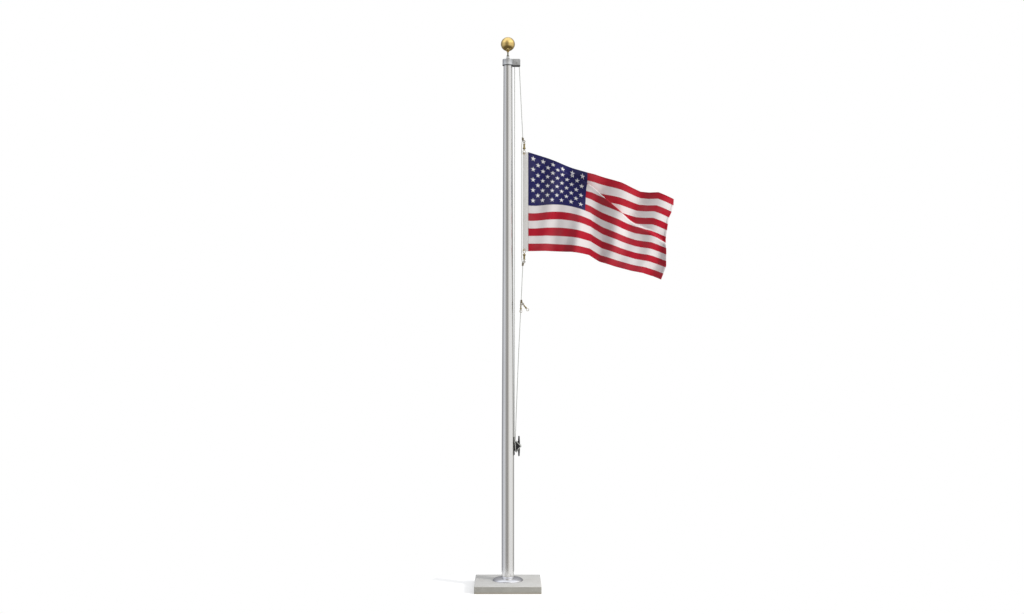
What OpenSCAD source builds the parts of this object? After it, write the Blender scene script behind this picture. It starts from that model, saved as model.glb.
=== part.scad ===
// Tapered aluminium flagpole on a square concrete pad, with a ball finial, an outside
// halyard over a single-sheave truck, a cleat, snap hooks and a flying flag.
// Origin: centre of the pad's underside. +X points to the flag, +Z up. Millimetres.

/* [Pad and flash collar] */
// Side of the square concrete pad
pad_w = 914; // [600:1:1300]
// Thickness of the pad
pad_h = 102; // [80:1:200]
// Depth of the socket that takes the butt of the shaft
socket_depth = 80; // [40:1:95]
// Diameter of the spun flash collar
collar_d = 424; // [300:1:560]
// Height of the flash collar
collar_h = 60; // [30:1:120]
// Sheet thickness of the flash collar
collar_t = 2; // [1:0.5:4]

/* [Shaft] */
// Height of the shaft above the pad
shaft_h = 7188; // [4000:1:9000]
// Butt diameter
butt_d = 172; // [120:1:220]
// Length of the straight butt above the pad
butt_h = 1668; // [800:1:3000]
// Diameter at the top
top_d = 120; // [76:1:160]
// Wall thickness of the shaft
shaft_wall = 4.8; // [3:0.1:8]

/* [Truck] */
// Diameter of the truck's cap
cap_d = 150; // [110:1:200]
// Length of skirt that slips over the shaft
skirt_h = 66; // [40:1:100]
// Thickness of the cap's roof
roof_h = 23; // [10:1:40]
// Diameter of the bell-shaped neck where it meets the roof
dome_d = 100; // [60:1:130]
// Height of the neck
dome_h = 41; // [20:1:60]
// Wall of the pulley housing
housing_wall = 6; // [4:0.5:10]
// Diameter of the set screws in the skirt
set_screw_d = 8; // [5:1:10]

/* [Sheave] */
// Distance of the sheave's centre from the pole's axis
sheave_x = 125; // [110:1:180]
// Drop of the sheave's centre below the shaft's top
sheave_drop = 28; // [0:1:60]
// Rim radius of the sheave
sheave_r = 37; // [30:1:60]
// Radius from the sheave's centre to the middle of the rope
pitch_r = 31; // [20:1:50]
// Width of the sheave's rim
sheave_w = 20; // [16:1:30]
// Length of the sheave's hub
hub_w = 30; // [24:1:40]
// Diameter of the sheave pin
pin_d = 10; // [8:1:16]

/* [Finial] */
// Diameter of the ball
ball_d = 195; // [100:1:300]
// Wall of the hollow ball
ball_wall = 1.6; // [1:0.1:3]
// Diameter of the spindle
spindle_d = 22; // [12:1:30]
// Length of spindle seen between the truck and the ball
spindle_show = 71; // [30:1:120]
// Depth of spindle inside the ball and inside the dome
spindle_grip = 24; // [12:1:35]

/* [Cleat] */
// Height of the cleat's centre above the ground
cleat_z = 1961; // [900:1:2500]
// Length of the cleat from horn to horn
cleat_len = 284; // [150:1:320]
// Thickness of the cleat's bar
bar_d = 30; // [18:1:34]
// Distance of the bar's centre line from the shaft's butt face
bar_out = 67; // [50:1:90]
// Height of the cleat's waist
waist_h = 125; // [60:1:140]
// Width of the cleat's stem
stem_w = 26; // [16:1:30]
// Width of the cleat's base
base_w = 48; // [30:1:60]
// Height of the cleat's base
base_h = 250; // [160:1:280]
// Diameter of the cleat's screws
cleat_screw_d = 8; // [5:1:10]

/* [Halyard] */
// Diameter of the rope
rope_d = 10; // [6:1:12]
// Distance of the swivels' axis from the pole's axis
swivel_x = 226; // [205:1:300]
// Distance of the rope beside the flag from the pole's axis
run_x = 190; // [160:1:200]
// Distance of the two main knots from the pole's axis
knot_x = 207; // [195:1:230]
// Diameter of the main knots
knot_d = 30; // [20:1:40]
// Drop of the spare snaps' knot below the flag's lower edge
spare_drop = 697; // [300:1:1200]
// Distance of the spare snaps' knot from the pole's axis
spare_x = 185; // [150:1:200]

/* [Snaps] */
// Radius of the hook's ring to the middle of its wire
ring_r = 24; // [20:1:30]
// Diameter of the hook's wire
wire_d = 8; // [5:0.5:9]
// Diameter of the snap's collar
snap_collar_d = 40; // [28:1:44]
// Diameter of the snap's body
snap_body_d = 26; // [18:1:30]
// Length of the snap's body
snap_body_h = 42; // [30:1:60]
// Size of the two spare snaps against the main ones
spare_size = 0.7; // [0.5:0.05:1]

/* [Flag] */
// Hoist, the flag's height
hoist = 1372; // [900:1:1800]
// Width of the canvas heading
heading_w = 76; // [40:1:100]
// Thickness of the canvas heading
heading_t = 3.2; // [2:0.2:6]
// Drop of the flag's upper edge below the sheave's centre
flag_drop = 1233; // [600:1:2500]
// Inset of the grommets from the heading's pole side
grommet_x = 21; // [18:1:30]
// Inset of the grommets from the heading's ends
grommet_z = 22; // [18:1:40]
// Outer diameter of the grommets
grommet_d = 30; // [24:1:34]
// Hole of the grommets
eyelet_d = 19; // [17:1:22]
// Thickness of the cloth as modelled
cloth_t = 3; // [2:0.5:5]

/* [Hidden] */
$fn = 64;
seat = 0.3;
run_fit = 0.05;
gap = 0.2;
rope_r = rope_d/2;
butt_top = pad_h + butt_h;
shaft_foot = pad_h - socket_depth;
shaft_top = pad_h + shaft_h;
cap_z = shaft_top - skirt_h;
roof_z = shaft_top + roof_h;
dome_z = roof_z + dome_h;
dome_top_d = spindle_d + 12;
ball_z = dome_z + spindle_show + ball_d/2;
neck_z = ball_z - ball_d/2;
sheave_z = shaft_top - sheave_drop;
pocket_y = hub_w/2 + 0.5;
housing_x = sheave_x + sheave_r + 6 + 4;
housing_z0 = sheave_z - 52;
housing_z1 = sheave_z + sheave_r + 12 + housing_wall;
pin_z = sheave_z;
flag_top = sheave_z - flag_drop;
flag_bottom = flag_top - hoist;
heading_x0 = swivel_x - grommet_x;
cloth_x0 = heading_x0 + heading_w;
eyelet_top = flag_top - grommet_z;
eyelet_low = flag_bottom + grommet_z;
ring_top = eyelet_top + ring_r;
ring_low = eyelet_low - ring_r;
wire_r = wire_d/2;
// snap stations along its own axis, from the ring's centre towards the eye
neck_h = 12;
snap_collar_h = 30;
s_collar = ring_r + neck_h;
s_body = s_collar + snap_collar_h;
s_end = s_body + snap_body_h;
eye_base_h = 5;
bow_r = 14;
stem_d = 8;
head_d = 14;
s_bow = s_end + 0.5 + eye_base_h + 13;
s_tip = s_bow + bow_r;
knot_s0 = s_tip + 9;
knot_h = 45;
loop_r = 14;
loop_dx = 2;
knot_top = ring_top + knot_s0 + knot_h;
knot_low = ring_low - knot_s0 - knot_h;
spare_z = flag_bottom - spare_drop;
spare_h = 53;
spare_r = 16;
spare_loop_r = 12;
spare_tip = s_tip*spare_size;
spare_a = [179, -24, spare_z - 36];
spare_b = [209, 0, spare_z - 37];
spare_tilt = 40;
turns_h = 222;
shaft_at_cleat = butt_d/2;
bar_x = shaft_at_cleat + bar_out;

function shaft_r(z) = z <= butt_top ? butt_d/2
    : butt_d/2 - (butt_d - top_d)/2*(z - butt_top)/(shaft_top - butt_top);
bore_r = shaft_r(cap_z) + seat;
set_z = cap_z + 16;

// height of a rope loop's centre over the wire that hangs in it, dx to its side
function hang(loop, wire, dx) = sqrt(pow(loop - rope_r - wire - seat, 2) - dx*dx);

// where the ropes start and end
inner_low = [bar_x - 62, -31, cleat_z + turns_h];
inner_top = [sheave_x - pitch_r, 0, sheave_z];
outer_low = [bar_x - 44, 20, cleat_z + turns_h];
lead_a = atan((knot_x - sheave_x - pitch_r)/(sheave_z - knot_top));
lead_top = [sheave_x + pitch_r*cos(lead_a), 0, sheave_z + pitch_r*sin(lead_a)];

// rope around the cleat, measured from the middle of its bar
turns = [
    [-62, -31, 222], [-61, -31, 150], [-59, -31, 90], [-55, -31, 40], [-50, -30, 0],
    [-47, -27, -32], [-44, -23, -54], [-41, -17, -68], [-37, -8, -71], [-35, 2, -71],
    [-32, 11, -70], [-29, 19, -66], [-24, 23, -54], [-15, 24, -41], [-3, 24, -29],
    [8, 21, -19], [16, 15, -11], [20, 7, -5], [21, 0, 0], [20, -7, 5], [16, -15, 11],
    [8, -21, 19], [-3, -24, 29], [-15, -24, 41], [-25, -23, 54], [-31, -18, 67],
    [-35, -9, 71], [-37, 0, 71], [-35, 9, 71], [-31, 18, 67], [-25, 23, 56], [-15, 25, 44],
    [-3, 25, 33], [9, 23, 23], [20, 18, 14], [29, 10, 8], [32, 0, 0], [29, -10, -8],
    [20, -18, -14], [9, -23, -23], [-3, -25, -33], [-13, -26, -47], [-22, -24, -64],
    [-29, -13, -80], [-36, 0, -84], [-42, 12, -81], [-47, 23, -68], [-51, 31, -46],
    [-53, 32, -10], [-53, 31, 40], [-51, 28, 100], [-48, 24, 160], [-44, 20, 222]
];
// a thicker or thinner rope still lies on the front of the bar
turn_path = [for (p = turns) [bar_x + p[0] + (rope_r - 5)*max(0, p[0])/21, p[1], p[2]]];

// flag edges: distance from the hoist along the fly, then height against the hoist's end
fly_x = [0, 120, 250, 380, 510, 640, 770, 900, 1030, 1160, 1290, 1420, 1550, 1680, 1810, 1920, 2009];
top_dz = [0, -35, -78, -128, -180, -232, -270, -304, -346, -382, -428, -484, -538, -562, -566, -612, -655];
low_x = [0, 120, 250, 380, 510, 630, 745, 840, 905, 990, 1100, 1225, 1350, 1470, 1590, 1720, 1832];
low_dz = [0, 3, 4, 0, -6, -16, -30, -56, -94, -146, -190, -228, -262, -285, -308, -346, -394];
wave = [0, 14, 20, 4, -30, -56, -48, -6, 50, 82, 70, 20, -44, -82, -70, -16, 40];

// ---------- general shapes ----------
// straight rope between two points
module rope_between(a, b, d = rope_d) {
    v = b - a;
    len = norm(v);
    translate(a)
        rotate([0, acos(v[2]/len), atan2(v[1], v[0])])
            cylinder(d = d, h = len, $fn = 32);
}

// swept tube: directions, carried side vectors, rings and side faces
function unit(v) = v/norm(v);
function dirs(p) = [for (i = [0:len(p) - 1])
    unit(p[min(i + 1, len(p) - 1)] - p[max(i - 1, 0)])];
function carry(t, i, n) = i >= len(t) ? []
    : let (m = unit(n - t[i]*(n*t[i]))) concat([m], carry(t, i + 1, m));
function ring_pts(c, t, n, r, s) = let (b = cross(t, n))
    [for (k = [0:s - 1]) c + r*(cos(360*k/s)*n + sin(360*k/s)*b)];
module tube(p, r, s = 10) {
    t = dirs(p);
    n = carry(t, 0, [0, 1, 0.01]);
    pts = [for (i = [0:len(p) - 1]) each ring_pts(p[i], t[i], n[i], r, s)];
    sides = [for (i = [0:len(p) - 2], k = [0:s - 1])
        let (a = i*s + k, b = i*s + (k + 1)%s)
        each [[a, b + s, b], [a, a + s, b + s]]];
    cap_a = [for (k = [0:s - 1]) k];
    cap_b = [for (k = [0:s - 1]) (len(p) - 1)*s + s - 1 - k];
    polyhedron(points = pts, faces = concat(sides, [cap_a, cap_b]));
}

// part of a wire ring in the XZ plane
module ring_arc(r, w, a0, sweep) {
    rotate([90, 0, 0])
        rotate([0, 0, a0])
            rotate_extrude(angle = sweep)
                translate([r, 0])
                    circle(r = w, $fn = 32);
}

module hex_nut(af, h, bore) {
    difference() {
        cylinder(d = af/cos(30), h = h, $fn = 6);
        translate([0, 0, -1])
            cylinder(d = bore, h = h + 2);
    }
}

// ---------- pad, collar and shaft ----------
module concrete_pad() {
    color([0.72, 0.72, 0.7])
        difference() {
            translate([-pad_w/2, -pad_w/2, 0])
                cube([pad_w, pad_w, pad_h]);
            translate([0, 0, shaft_foot])
                cylinder(d = butt_d + 2*seat, h = socket_depth + 1);
        }
}

module flash_collar() {
    color([0.86, 0.87, 0.9])
        translate([0, 0, pad_h])
            rotate_extrude()
                polygon(concat(collar_outer(), collar_inner()));
}
function collar_curve(i, t) = let (r0 = butt_d/2 + seat + 14, a = 90 - 90*i/16)
    [r0 + (collar_d/2 - t - r0)*cos(a), (collar_h - 14 - t)*sin(a)];
function collar_outer() = concat([[butt_d/2 + seat, collar_h],
    [butt_d/2 + seat + collar_t, collar_h], [butt_d/2 + seat + collar_t + 3, collar_h - 8]],
    [for (i = [0:16]) collar_curve(i, 0)]);
function collar_inner() = concat([for (i = [16:-1:1]) collar_curve(i, collar_t)],
    [[butt_d/2 + seat + 12, collar_h - 14 - collar_t], [butt_d/2 + seat, collar_h - 14 - collar_t]]);

module shaft_solid(grow) {
    translate([0, 0, shaft_foot])
        cylinder(r = butt_d/2 + grow, h = butt_top - shaft_foot);
    translate([0, 0, butt_top])
        cylinder(r1 = butt_d/2 + grow, r2 = top_d/2 + grow, h = shaft_top - butt_top);
}

module pole_shaft() {
    color([0.8, 0.8, 0.8])
        difference() {
            shaft_solid(0);
            translate([0, 0, shaft_foot - 1])
                cylinder(r = butt_d/2 - shaft_wall, h = butt_top - shaft_foot + 1);
            translate([0, 0, butt_top])
                cylinder(r1 = butt_d/2 - shaft_wall, r2 = top_d/2 - shaft_wall,
                    h = shaft_top - butt_top);
            translate([0, 0, shaft_top - 1])
                cylinder(r = top_d/2 - shaft_wall, h = 2);
        }
}

// ---------- truck ----------
module cap_profile() {
    polygon(concat([[0, cap_z], [cap_d/2, cap_z], [cap_d/2, roof_z - 8]],
        [for (i = [1:4]) [cap_d/2 - 8 + 8*cos(90*i/4), roof_z - 8 + 8*sin(90*i/4)]],
        [for (i = [0:8]) let (a = 90*i/8)
            [dome_top_d/2 + (dome_d - dome_top_d)/2*(1 - sin(a)), roof_z + dome_h*(1 - cos(a))]],
        [[0, dome_z]]));
}

module housing_profile() {
    r = 14;
    x0 = cap_d/2 - 13;
    translate([x0, housing_z0])
        square([housing_x - x0 - r, housing_z1 - housing_z0]);
    translate([x0, housing_z0 + r])
        square([housing_x - x0, housing_z1 - housing_z0 - 2*r]);
    translate([housing_x - r, housing_z1 - r])
        circle(r = r);
    translate([housing_x - r, housing_z0 + r])
        circle(r = r);
}

module truck_body() {
    color([0.66, 0.67, 0.68])
        difference() {
            union() {
                rotate_extrude()
                    cap_profile();
                translate([0, pocket_y + housing_wall, 0])
                    rotate([90, 0, 0])
                        linear_extrude(2*(pocket_y + housing_wall))
                            housing_profile();
            }
            translate([0, 0, housing_z0 - 1])
                cylinder(r = bore_r, h = shaft_top - housing_z0 + 1);
            translate([0, 0, dome_z - spindle_grip])
                cylinder(d = spindle_d + 2*run_fit, h = spindle_grip + 1);
            translate([sheave_x - sheave_r - 8, -pocket_y, housing_z0 - 1])
                cube([2*sheave_r + 14, 2*pocket_y, housing_z1 - housing_z0 + 1 - housing_wall]);
            translate([sheave_x, 40, sheave_z])
                rotate([90, 0, 0])
                    cylinder(d = pin_d + 2*run_fit, h = 80);
            for (a = [90, 180, 270])
                rotate([0, 0, a])
                    translate([0, 0, set_z])
                        rotate([0, 90, 0])
                            cylinder(d = set_screw_d + 2*run_fit, h = cap_d);
        }
}

module truck_set_screws() {
    color([0.4, 0.4, 0.42])
        for (a = [90, 180, 270])
            rotate([0, 0, a])
                translate([shaft_r(set_z) + gap, 0, set_z])
                    rotate([0, 90, 0])
                        difference() {
                            cylinder(d = set_screw_d, h = cap_d/2 - shaft_r(set_z) - 1);
                            translate([0, 0, cap_d/2 - shaft_r(set_z) - 5])
                                cylinder(d = set_screw_d/2, h = 6, $fn = 6);
                        }
}

// ---------- sheave ----------
module pulley_sheave() {
    groove_r = rope_r + seat;
    color([0.2, 0.2, 0.2])
        translate([sheave_x, 0, sheave_z])
            rotate([90, 0, 0])
                difference() {
                    union() {
                        translate([0, 0, -sheave_w/2])
                            cylinder(r = sheave_r, h = sheave_w);
                        translate([0, 0, -hub_w/2])
                            cylinder(r = 12, h = hub_w);
                    }
                    rotate_extrude()
                        translate([pitch_r, 0]) {
                            circle(r = groove_r);
                            polygon([[0, -groove_r], [sheave_r - pitch_r + 1, -groove_r - 2.2],
                                [sheave_r - pitch_r + 1, groove_r + 2.2], [0, groove_r]]);
                        }
                    translate([0, 0, -hub_w])
                        cylinder(d = pin_d + 2*run_fit, h = 2*hub_w);
                }
}

module sheave_pin() {
    y1 = pocket_y + housing_wall;
    color([0.6, 0.6, 0.6])
        translate([sheave_x, 0, pin_z])
            rotate([90, 0, 0]) {
                translate([0, 0, -y1 - 8])
                    cylinder(d = pin_d, h = 2*y1 + 8);
                translate([0, 0, y1])
                    cylinder(d = 1.8*pin_d, h = 4);
            }
}

module sheave_pin_nut() {
    color([0.6, 0.6, 0.6])
        translate([sheave_x, pocket_y + housing_wall + 7, pin_z])
            rotate([90, 0, 0])
                hex_nut(1.6*pin_d, 7, pin_d + 2*run_fit);
}

// ---------- finial ----------
module finial_spindle() {
    color([0.6, 0.55, 0.4])
        translate([0, 0, dome_z - spindle_grip])
            cylinder(d = spindle_d, h = spindle_show + 2*spindle_grip);
}

module finial_lower_nut() {
    color([0.6, 0.6, 0.58])
        translate([0, 0, dome_z])
            hex_nut(1.45*spindle_d, 12, spindle_d + 2*run_fit);
}

module finial_upper_nut() {
    color([0.75, 0.6, 0.3])
        translate([0, 0, neck_z - 2 - 10])
            hex_nut(1.45*spindle_d, 10, spindle_d + 2*run_fit);
}

module finial_ball() {
    color([0.85, 0.65, 0.25])
        difference() {
            union() {
                difference() {
                    translate([0, 0, ball_z])
                        sphere(d = ball_d, $fn = 96);
                    translate([0, 0, ball_z])
                        sphere(d = ball_d - 2*ball_wall, $fn = 96);
                }
                translate([0, 0, neck_z - 2])
                    cylinder(d = spindle_d + 14, h = spindle_grip + 8);
            }
            translate([0, 0, neck_z - 3])
                cylinder(d = spindle_d + 2*run_fit, h = spindle_grip + 5);
        }
}

// ---------- cleat ----------
module cleat_half_bar() {
    hull() {
        translate([bar_x, 0, 0])
            sphere(d = bar_d, $fn = 32);
        translate([bar_x, 0, waist_h/2])
            sphere(d = bar_d, $fn = 32);
    }
    hull() {
        translate([bar_x, 0, waist_h/2])
            sphere(d = bar_d, $fn = 32);
        translate([bar_x + 4, 0, cleat_len/2 - bar_d/3])
            sphere(d = 2*bar_d/3, $fn = 32);
    }
}

module halyard_cleat() {
    b = base_h/2;
    face = shaft_at_cleat + 8;
    notch = 30;
    color([0.22, 0.22, 0.23])
        difference() {
            translate([0, 0, cleat_z])
                union() {
                    for (s = [0, 1])
                        mirror([0, 0, s])
                            cleat_half_bar();
                    translate([0, base_w/2, 0])
                        rotate([90, 0, 0])
                            linear_extrude(base_w)
                                polygon([[face - 24, -b], [face - 6, -b], [face, 30 - b],
                                    [face, b - 30], [face - 6, b], [face - 24, b]]);
                    translate([0, stem_w/2, 0])
                        rotate([90, 0, 0])
                            linear_extrude(stem_w)
                                difference() {
                                    translate([face - 4, -waist_h/2 - 18])
                                        square([bar_x - face + 4, waist_h + 36]);
                                    for (s = [-1, 1])
                                        translate([(face + bar_x - bar_d/2)/2, s*(waist_h/2 + notch)])
                                            circle(r = notch);
                                }
                }
            shaft_solid(gap);
            for (s = [-1, 1])
                translate([0, 0, cleat_z + s*(b - 18)])
                    rotate([0, 90, 0])
                        cylinder(d = cleat_screw_d + 2*run_fit, h = 2*bar_x);
        }
}

module cleat_screws() {
    face = shaft_at_cleat + 8;
    color([0.55, 0.55, 0.56])
        for (s = [-1, 1])
            translate([0, 0, cleat_z + s*(base_h/2 - 18)]) {
                rotate([0, 90, 0]) {
                    translate([0, 0, shaft_r(cleat_z + s*base_h/2) + 0.7])
                        cylinder(d = cleat_screw_d, h = face - shaft_r(cleat_z + s*base_h/2));
                    translate([0, 0, face + gap])
                        cylinder(d1 = 1.9*cleat_screw_d, d2 = 1.5*cleat_screw_d, h = 4);
                }
            }
}

// ---------- halyard ----------
module rope_color() {
    color([0.82, 0.83, 0.8])
        children();
}

module halyard_inner_run() {
    rope_color()
        rope_between(inner_low + [0, 0, gap], inner_top - [0, 0, gap]);
}

module halyard_sheave_wrap() {
    rope_color()
        translate([sheave_x, 0, sheave_z])
            ring_arc(pitch_r, rope_r, lead_a, 180 - lead_a);
}

module halyard_upper_run() {
    v = unit([knot_x, 0, knot_top] - lead_top);
    rope_color()
        rope_between([knot_x, 0, knot_top] - 0.6*v, lead_top + gap*v);
}

module halyard_flag_run() {
    z1 = ring_top + knot_s0;
    z0 = ring_low - knot_s0;
    rope_color()
        tube([[knot_x - 9, 0, z1 - 1.5], [run_x + 4, 0, z1 - 25], [run_x + 1, 0, z1 - 50],
            [run_x, 0, z1 - 75], [run_x, 0, (z0 + z1)/2], [run_x, 0, z0 + 75],
            [run_x + 1, 0, z0 + 50], [run_x + 4, 0, z0 + 25], [knot_x - 9, 0, z0 + 1.5]], rope_r);
}

module halyard_mid_run() {
    rope_color()
        rope_between([spare_x, 0, spare_z + spare_h/2 + 0.5], [knot_x, 0, knot_low - 0.5]);
}

module halyard_lower_run() {
    z1 = spare_z - spare_h/2;
    rope_color()
        tube([[spare_x - 4, 0, z1 - 1], [178, 0, z1 - 90], [165, 2, z1 - 360],
            [151, 5, z1 - 640], [137, 10, z1 - 980], [124, 14, z1 - 1330],
            outer_low + [6, -2, 198], outer_low + [0, 0, 1]], rope_r);
}

module halyard_cleat_turns() {
    rope_color()
        translate([0, 0, cleat_z])
            tube(turn_path, rope_r);
}

// ---------- snaps ----------
// hook ring, neck, collar and body; k scales the snap, not its fits
module snap_hook_shape(k) {
    bore = stem_d*k + 2*run_fit;
    difference() {
        union() {
            ring_arc(ring_r*k, wire_r*k, 72, 300);
            translate([0, 0, ring_r*k])
                cylinder(r = wire_r*k + 1.5*k, h = neck_h*k);
            translate([0, 0, s_collar*k])
                cylinder(d1 = 0.75*snap_collar_d*k, d2 = snap_collar_d*k, h = 8*k);
            translate([0, 0, (s_collar + 8)*k])
                cylinder(d = snap_collar_d*k, h = 10*k);
            translate([0, 0, (s_collar + 18)*k])
                cylinder(d1 = snap_collar_d*k, d2 = snap_body_d*k, h = 12*k);
            translate([0, 0, s_body*k])
                cylinder(d = snap_body_d*k, h = snap_body_h*k);
        }
        translate([0, 0, s_end*k - 12*k])
            cylinder(d = bore, h = 12*k + 1);
        translate([0, 0, s_end*k - 24*k])
            cylinder(d = head_d*k + 1, h = 12*k);
    }
}

module snap_eye_shape(k) {
    base = s_end*k + 0.5;
    rotate([0, 0, 90])
        translate([0, 0, s_bow*k])
            ring_arc(bow_r*k, wire_r*k, 0, 180);
    for (s = [-1, 1])
        translate([0, s*bow_r*k, base])
            cylinder(r = wire_r*k, h = s_bow*k - base, $fn = 32);
    translate([0, 0, base])
        cylinder(r = (bow_r + wire_r + 1.5)*k, h = eye_base_h*k);
    translate([0, 0, s_end*k - 13*k])
        cylinder(d = stem_d*k, h = 13*k + 1);
    translate([0, 0, s_end*k - 18*k])
        cylinder(d = head_d*k, h = 5*k);
}

module snap_gate_shape(k) {
    ring_arc(ring_r*k, 0.8*wire_r*k, 14, 56);
    translate([(ring_r + 2)*k*cos(42), 0, (ring_r + 2)*k*sin(42)])
        sphere(r = 1.15*wire_r*k, $fn = 32);
}

module brass() {
    color([0.45, 0.33, 0.16])
        children();
}

// the main snaps hang on the swivel axis, ring turned 45 degrees to pass the grommet
module at_upper() {
    translate([swivel_x, 0, ring_top])
        rotate([0, 0, 45])
            children();
}

module at_lower() {
    translate([swivel_x, 0, ring_low])
        mirror([0, 0, 1])
            rotate([0, 0, 45])
                children();
}

module upper_snap_hook() {
    brass()
        at_upper()
            snap_hook_shape(1);
}

module upper_snap_gate() {
    brass()
        at_upper()
            snap_gate_shape(1);
}

module upper_snap_eye() {
    brass()
        at_upper()
            rotate([0, 0, -45])
                snap_eye_shape(1);
}

module lower_snap_hook() {
    brass()
        at_lower()
            snap_hook_shape(1);
}

module lower_snap_gate() {
    brass()
        at_lower()
            snap_gate_shape(1);
}

module lower_snap_eye() {
    brass()
        at_lower()
            rotate([0, 0, -45])
                snap_eye_shape(1);
}

// a wrapped knot with its loop through the snap's eye, pointing up from the snap
module knot_shape() {
    translate([knot_x, 0, knot_s0])
        cylinder(d = knot_d, h = knot_h);
    for (i = [0:3])
        translate([knot_x, 0, knot_s0 + 6 + 11*i])
            rotate_extrude()
                translate([knot_d/2 - 2, 0])
                    circle(r = rope_r);
    translate([swivel_x - loop_dx, 0, s_tip + hang(loop_r, wire_r, loop_dx)])
        ring_arc(loop_r, rope_r, 0, 360);
}

module upper_knot() {
    rope_color()
        translate([0, 0, ring_top])
            knot_shape();
}

module lower_knot() {
    rope_color()
        translate([0, 0, ring_low])
            mirror([0, 0, 1])
                knot_shape();
}

// two spare snaps on one knot: one hangs beside the rope, one stands out
module at_spare_a() {
    translate(spare_a - [0, 0, spare_tip])
        rotate([0, 0, 90])
            children();
}

module at_spare_b() {
    translate(spare_b)
        rotate([0, -spare_tilt, 0])
            translate([0, 0, -spare_tip])
                children();
}

module spare_knot() {
    rope_color() {
        translate([spare_x, 0, spare_z - spare_h/2])
            cylinder(r = spare_r, h = spare_h);
        for (i = [0:3])
            translate([spare_x, 0, spare_z - spare_h/2 + 8 + 12*i])
                rotate_extrude()
                    translate([spare_r - 2, 0])
                        circle(r = rope_r);
        translate(spare_a + [0, 1, hang(spare_loop_r, wire_r*spare_size, 1)])
            rotate([0, 0, 90])
                ring_arc(spare_loop_r, rope_r, 0, 360);
        translate(spare_b + [-1, 0, hang(spare_loop_r, wire_r*spare_size, 1)])
            ring_arc(spare_loop_r, rope_r, 0, 360);
    }
}

module spare_snap_hook() {
    brass()
        at_spare_a()
            rotate([0, 0, -90])
                snap_hook_shape(spare_size);
}

module spare_snap_gate() {
    brass()
        at_spare_a()
            rotate([0, 0, -90])
                snap_gate_shape(spare_size);
}

module spare_snap_eye() {
    brass()
        at_spare_a()
            snap_eye_shape(spare_size);
}

module spare_snap_hook_2() {
    brass()
        at_spare_b()
            snap_hook_shape(spare_size);
}

module spare_snap_gate_2() {
    brass()
        at_spare_b()
            snap_gate_shape(spare_size);
}

module spare_snap_eye_2() {
    brass()
        at_spare_b()
            snap_eye_shape(spare_size);
}

// ---------- flag ----------
module grommet_shape(z) {
    w = heading_t/2;
    color([0.7, 0.58, 0.3])
        translate([swivel_x, 0, z])
            rotate([90, 0, 0])
                rotate_extrude()
                    polygon([[eyelet_d/2, -w - 1], [grommet_d/2, -w - 1], [grommet_d/2, -w],
                        [eyelet_d/2 + 1.3, -w], [eyelet_d/2 + 1.3, w], [grommet_d/2, w],
                        [grommet_d/2, w + 1], [eyelet_d/2, w + 1]]);
}

module upper_grommet() {
    grommet_shape(eyelet_top);
}

module lower_grommet() {
    grommet_shape(eyelet_low);
}

module flag_heading() {
    color([0.93, 0.92, 0.88])
        difference() {
            translate([heading_x0, -heading_t/2, flag_bottom])
                cube([heading_w, heading_t, hoist]);
            for (z = [eyelet_top, eyelet_low])
                translate([swivel_x, 10, z])
                    rotate([90, 0, 0])
                        cylinder(d = eyelet_d + 2.6 + 2*run_fit, h = 20);
        }
}

// one point of the cloth: i along the fly, v from 0 at the lower edge to 1 at the upper
function cloth_pt(i, v, side) = let (
        x = fly_x[i]*v + low_x[i]*(1 - v),
        z = (flag_top + top_dz[i])*v + (flag_bottom + low_dz[i])*(1 - v),
        y = wave[i]*(0.7 + 0.3*sin(180*v)) + wave[max(i - 2, 0)]*0.3*(1 - v))
    [cloth_x0 + gap + x, -y + side*cloth_t/2, z];
module flag_cloth() {
    m = len(fly_x);
    n = 7;
    pts = [for (s = [-1, 1], i = [0:m - 1], j = [0:n - 1]) cloth_pt(i, j/(n - 1), s)];
    o = m*n;
    front = [for (i = [0:m - 2], j = [0:n - 2]) let (a = i*n + j)
        each [[a, a + 1, a + n + 1], [a, a + n + 1, a + n]]];
    back = [for (i = [0:m - 2], j = [0:n - 2]) let (a = o + i*n + j)
        each [[a, a + n + 1, a + 1], [a, a + n, a + n + 1]]];
    low = [for (i = [0:m - 2]) let (a = i*n) each [[a, a + n, o + a + n], [a, o + a + n, o + a]]];
    high = [for (i = [0:m - 2]) let (a = i*n + n - 1)
        each [[a, o + a + n, a + n], [a, o + a, o + a + n]]];
    near = [for (j = [0:n - 2]) each [[j, o + j + 1, j + 1], [j, o + j, o + j + 1]]];
    far = [for (j = [0:n - 2]) let (a = (m - 1)*n + j)
        each [[a, a + 1, o + a + 1], [a, o + a + 1, o + a]]];
    color([0.6, 0.12, 0.18])
        polyhedron(points = pts, faces = concat(front, back, low, high, near, far));
}

concrete_pad();
flash_collar();
pole_shaft();
truck_body();
truck_set_screws();
pulley_sheave();
sheave_pin();
sheave_pin_nut();
finial_spindle();
finial_lower_nut();
finial_upper_nut();
finial_ball();
halyard_cleat();
cleat_screws();
halyard_inner_run();
halyard_sheave_wrap();
halyard_upper_run();
halyard_flag_run();
halyard_mid_run();
halyard_lower_run();
halyard_cleat_turns();
upper_knot();
upper_snap_eye();
upper_snap_hook();
upper_snap_gate();
lower_knot();
lower_snap_eye();
lower_snap_hook();
lower_snap_gate();
spare_knot();
spare_snap_eye();
spare_snap_hook();
spare_snap_gate();
spare_snap_eye_2();
spare_snap_hook_2();
spare_snap_gate_2();
upper_grommet();
lower_grommet();
flag_heading();
flag_cloth();
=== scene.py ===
"""Looks of a tapered aluminium flagpole with its halyard, cleat, snaps and flying flag.

Every size is in metres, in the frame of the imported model: origin under the middle of the
concrete pad, +X from the pole to the flag, +Z up.
"""

import logging
import math
from dataclasses import dataclass, field
from enum import Enum
from typing import Callable, Iterable, Optional, Sequence, Union

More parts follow.
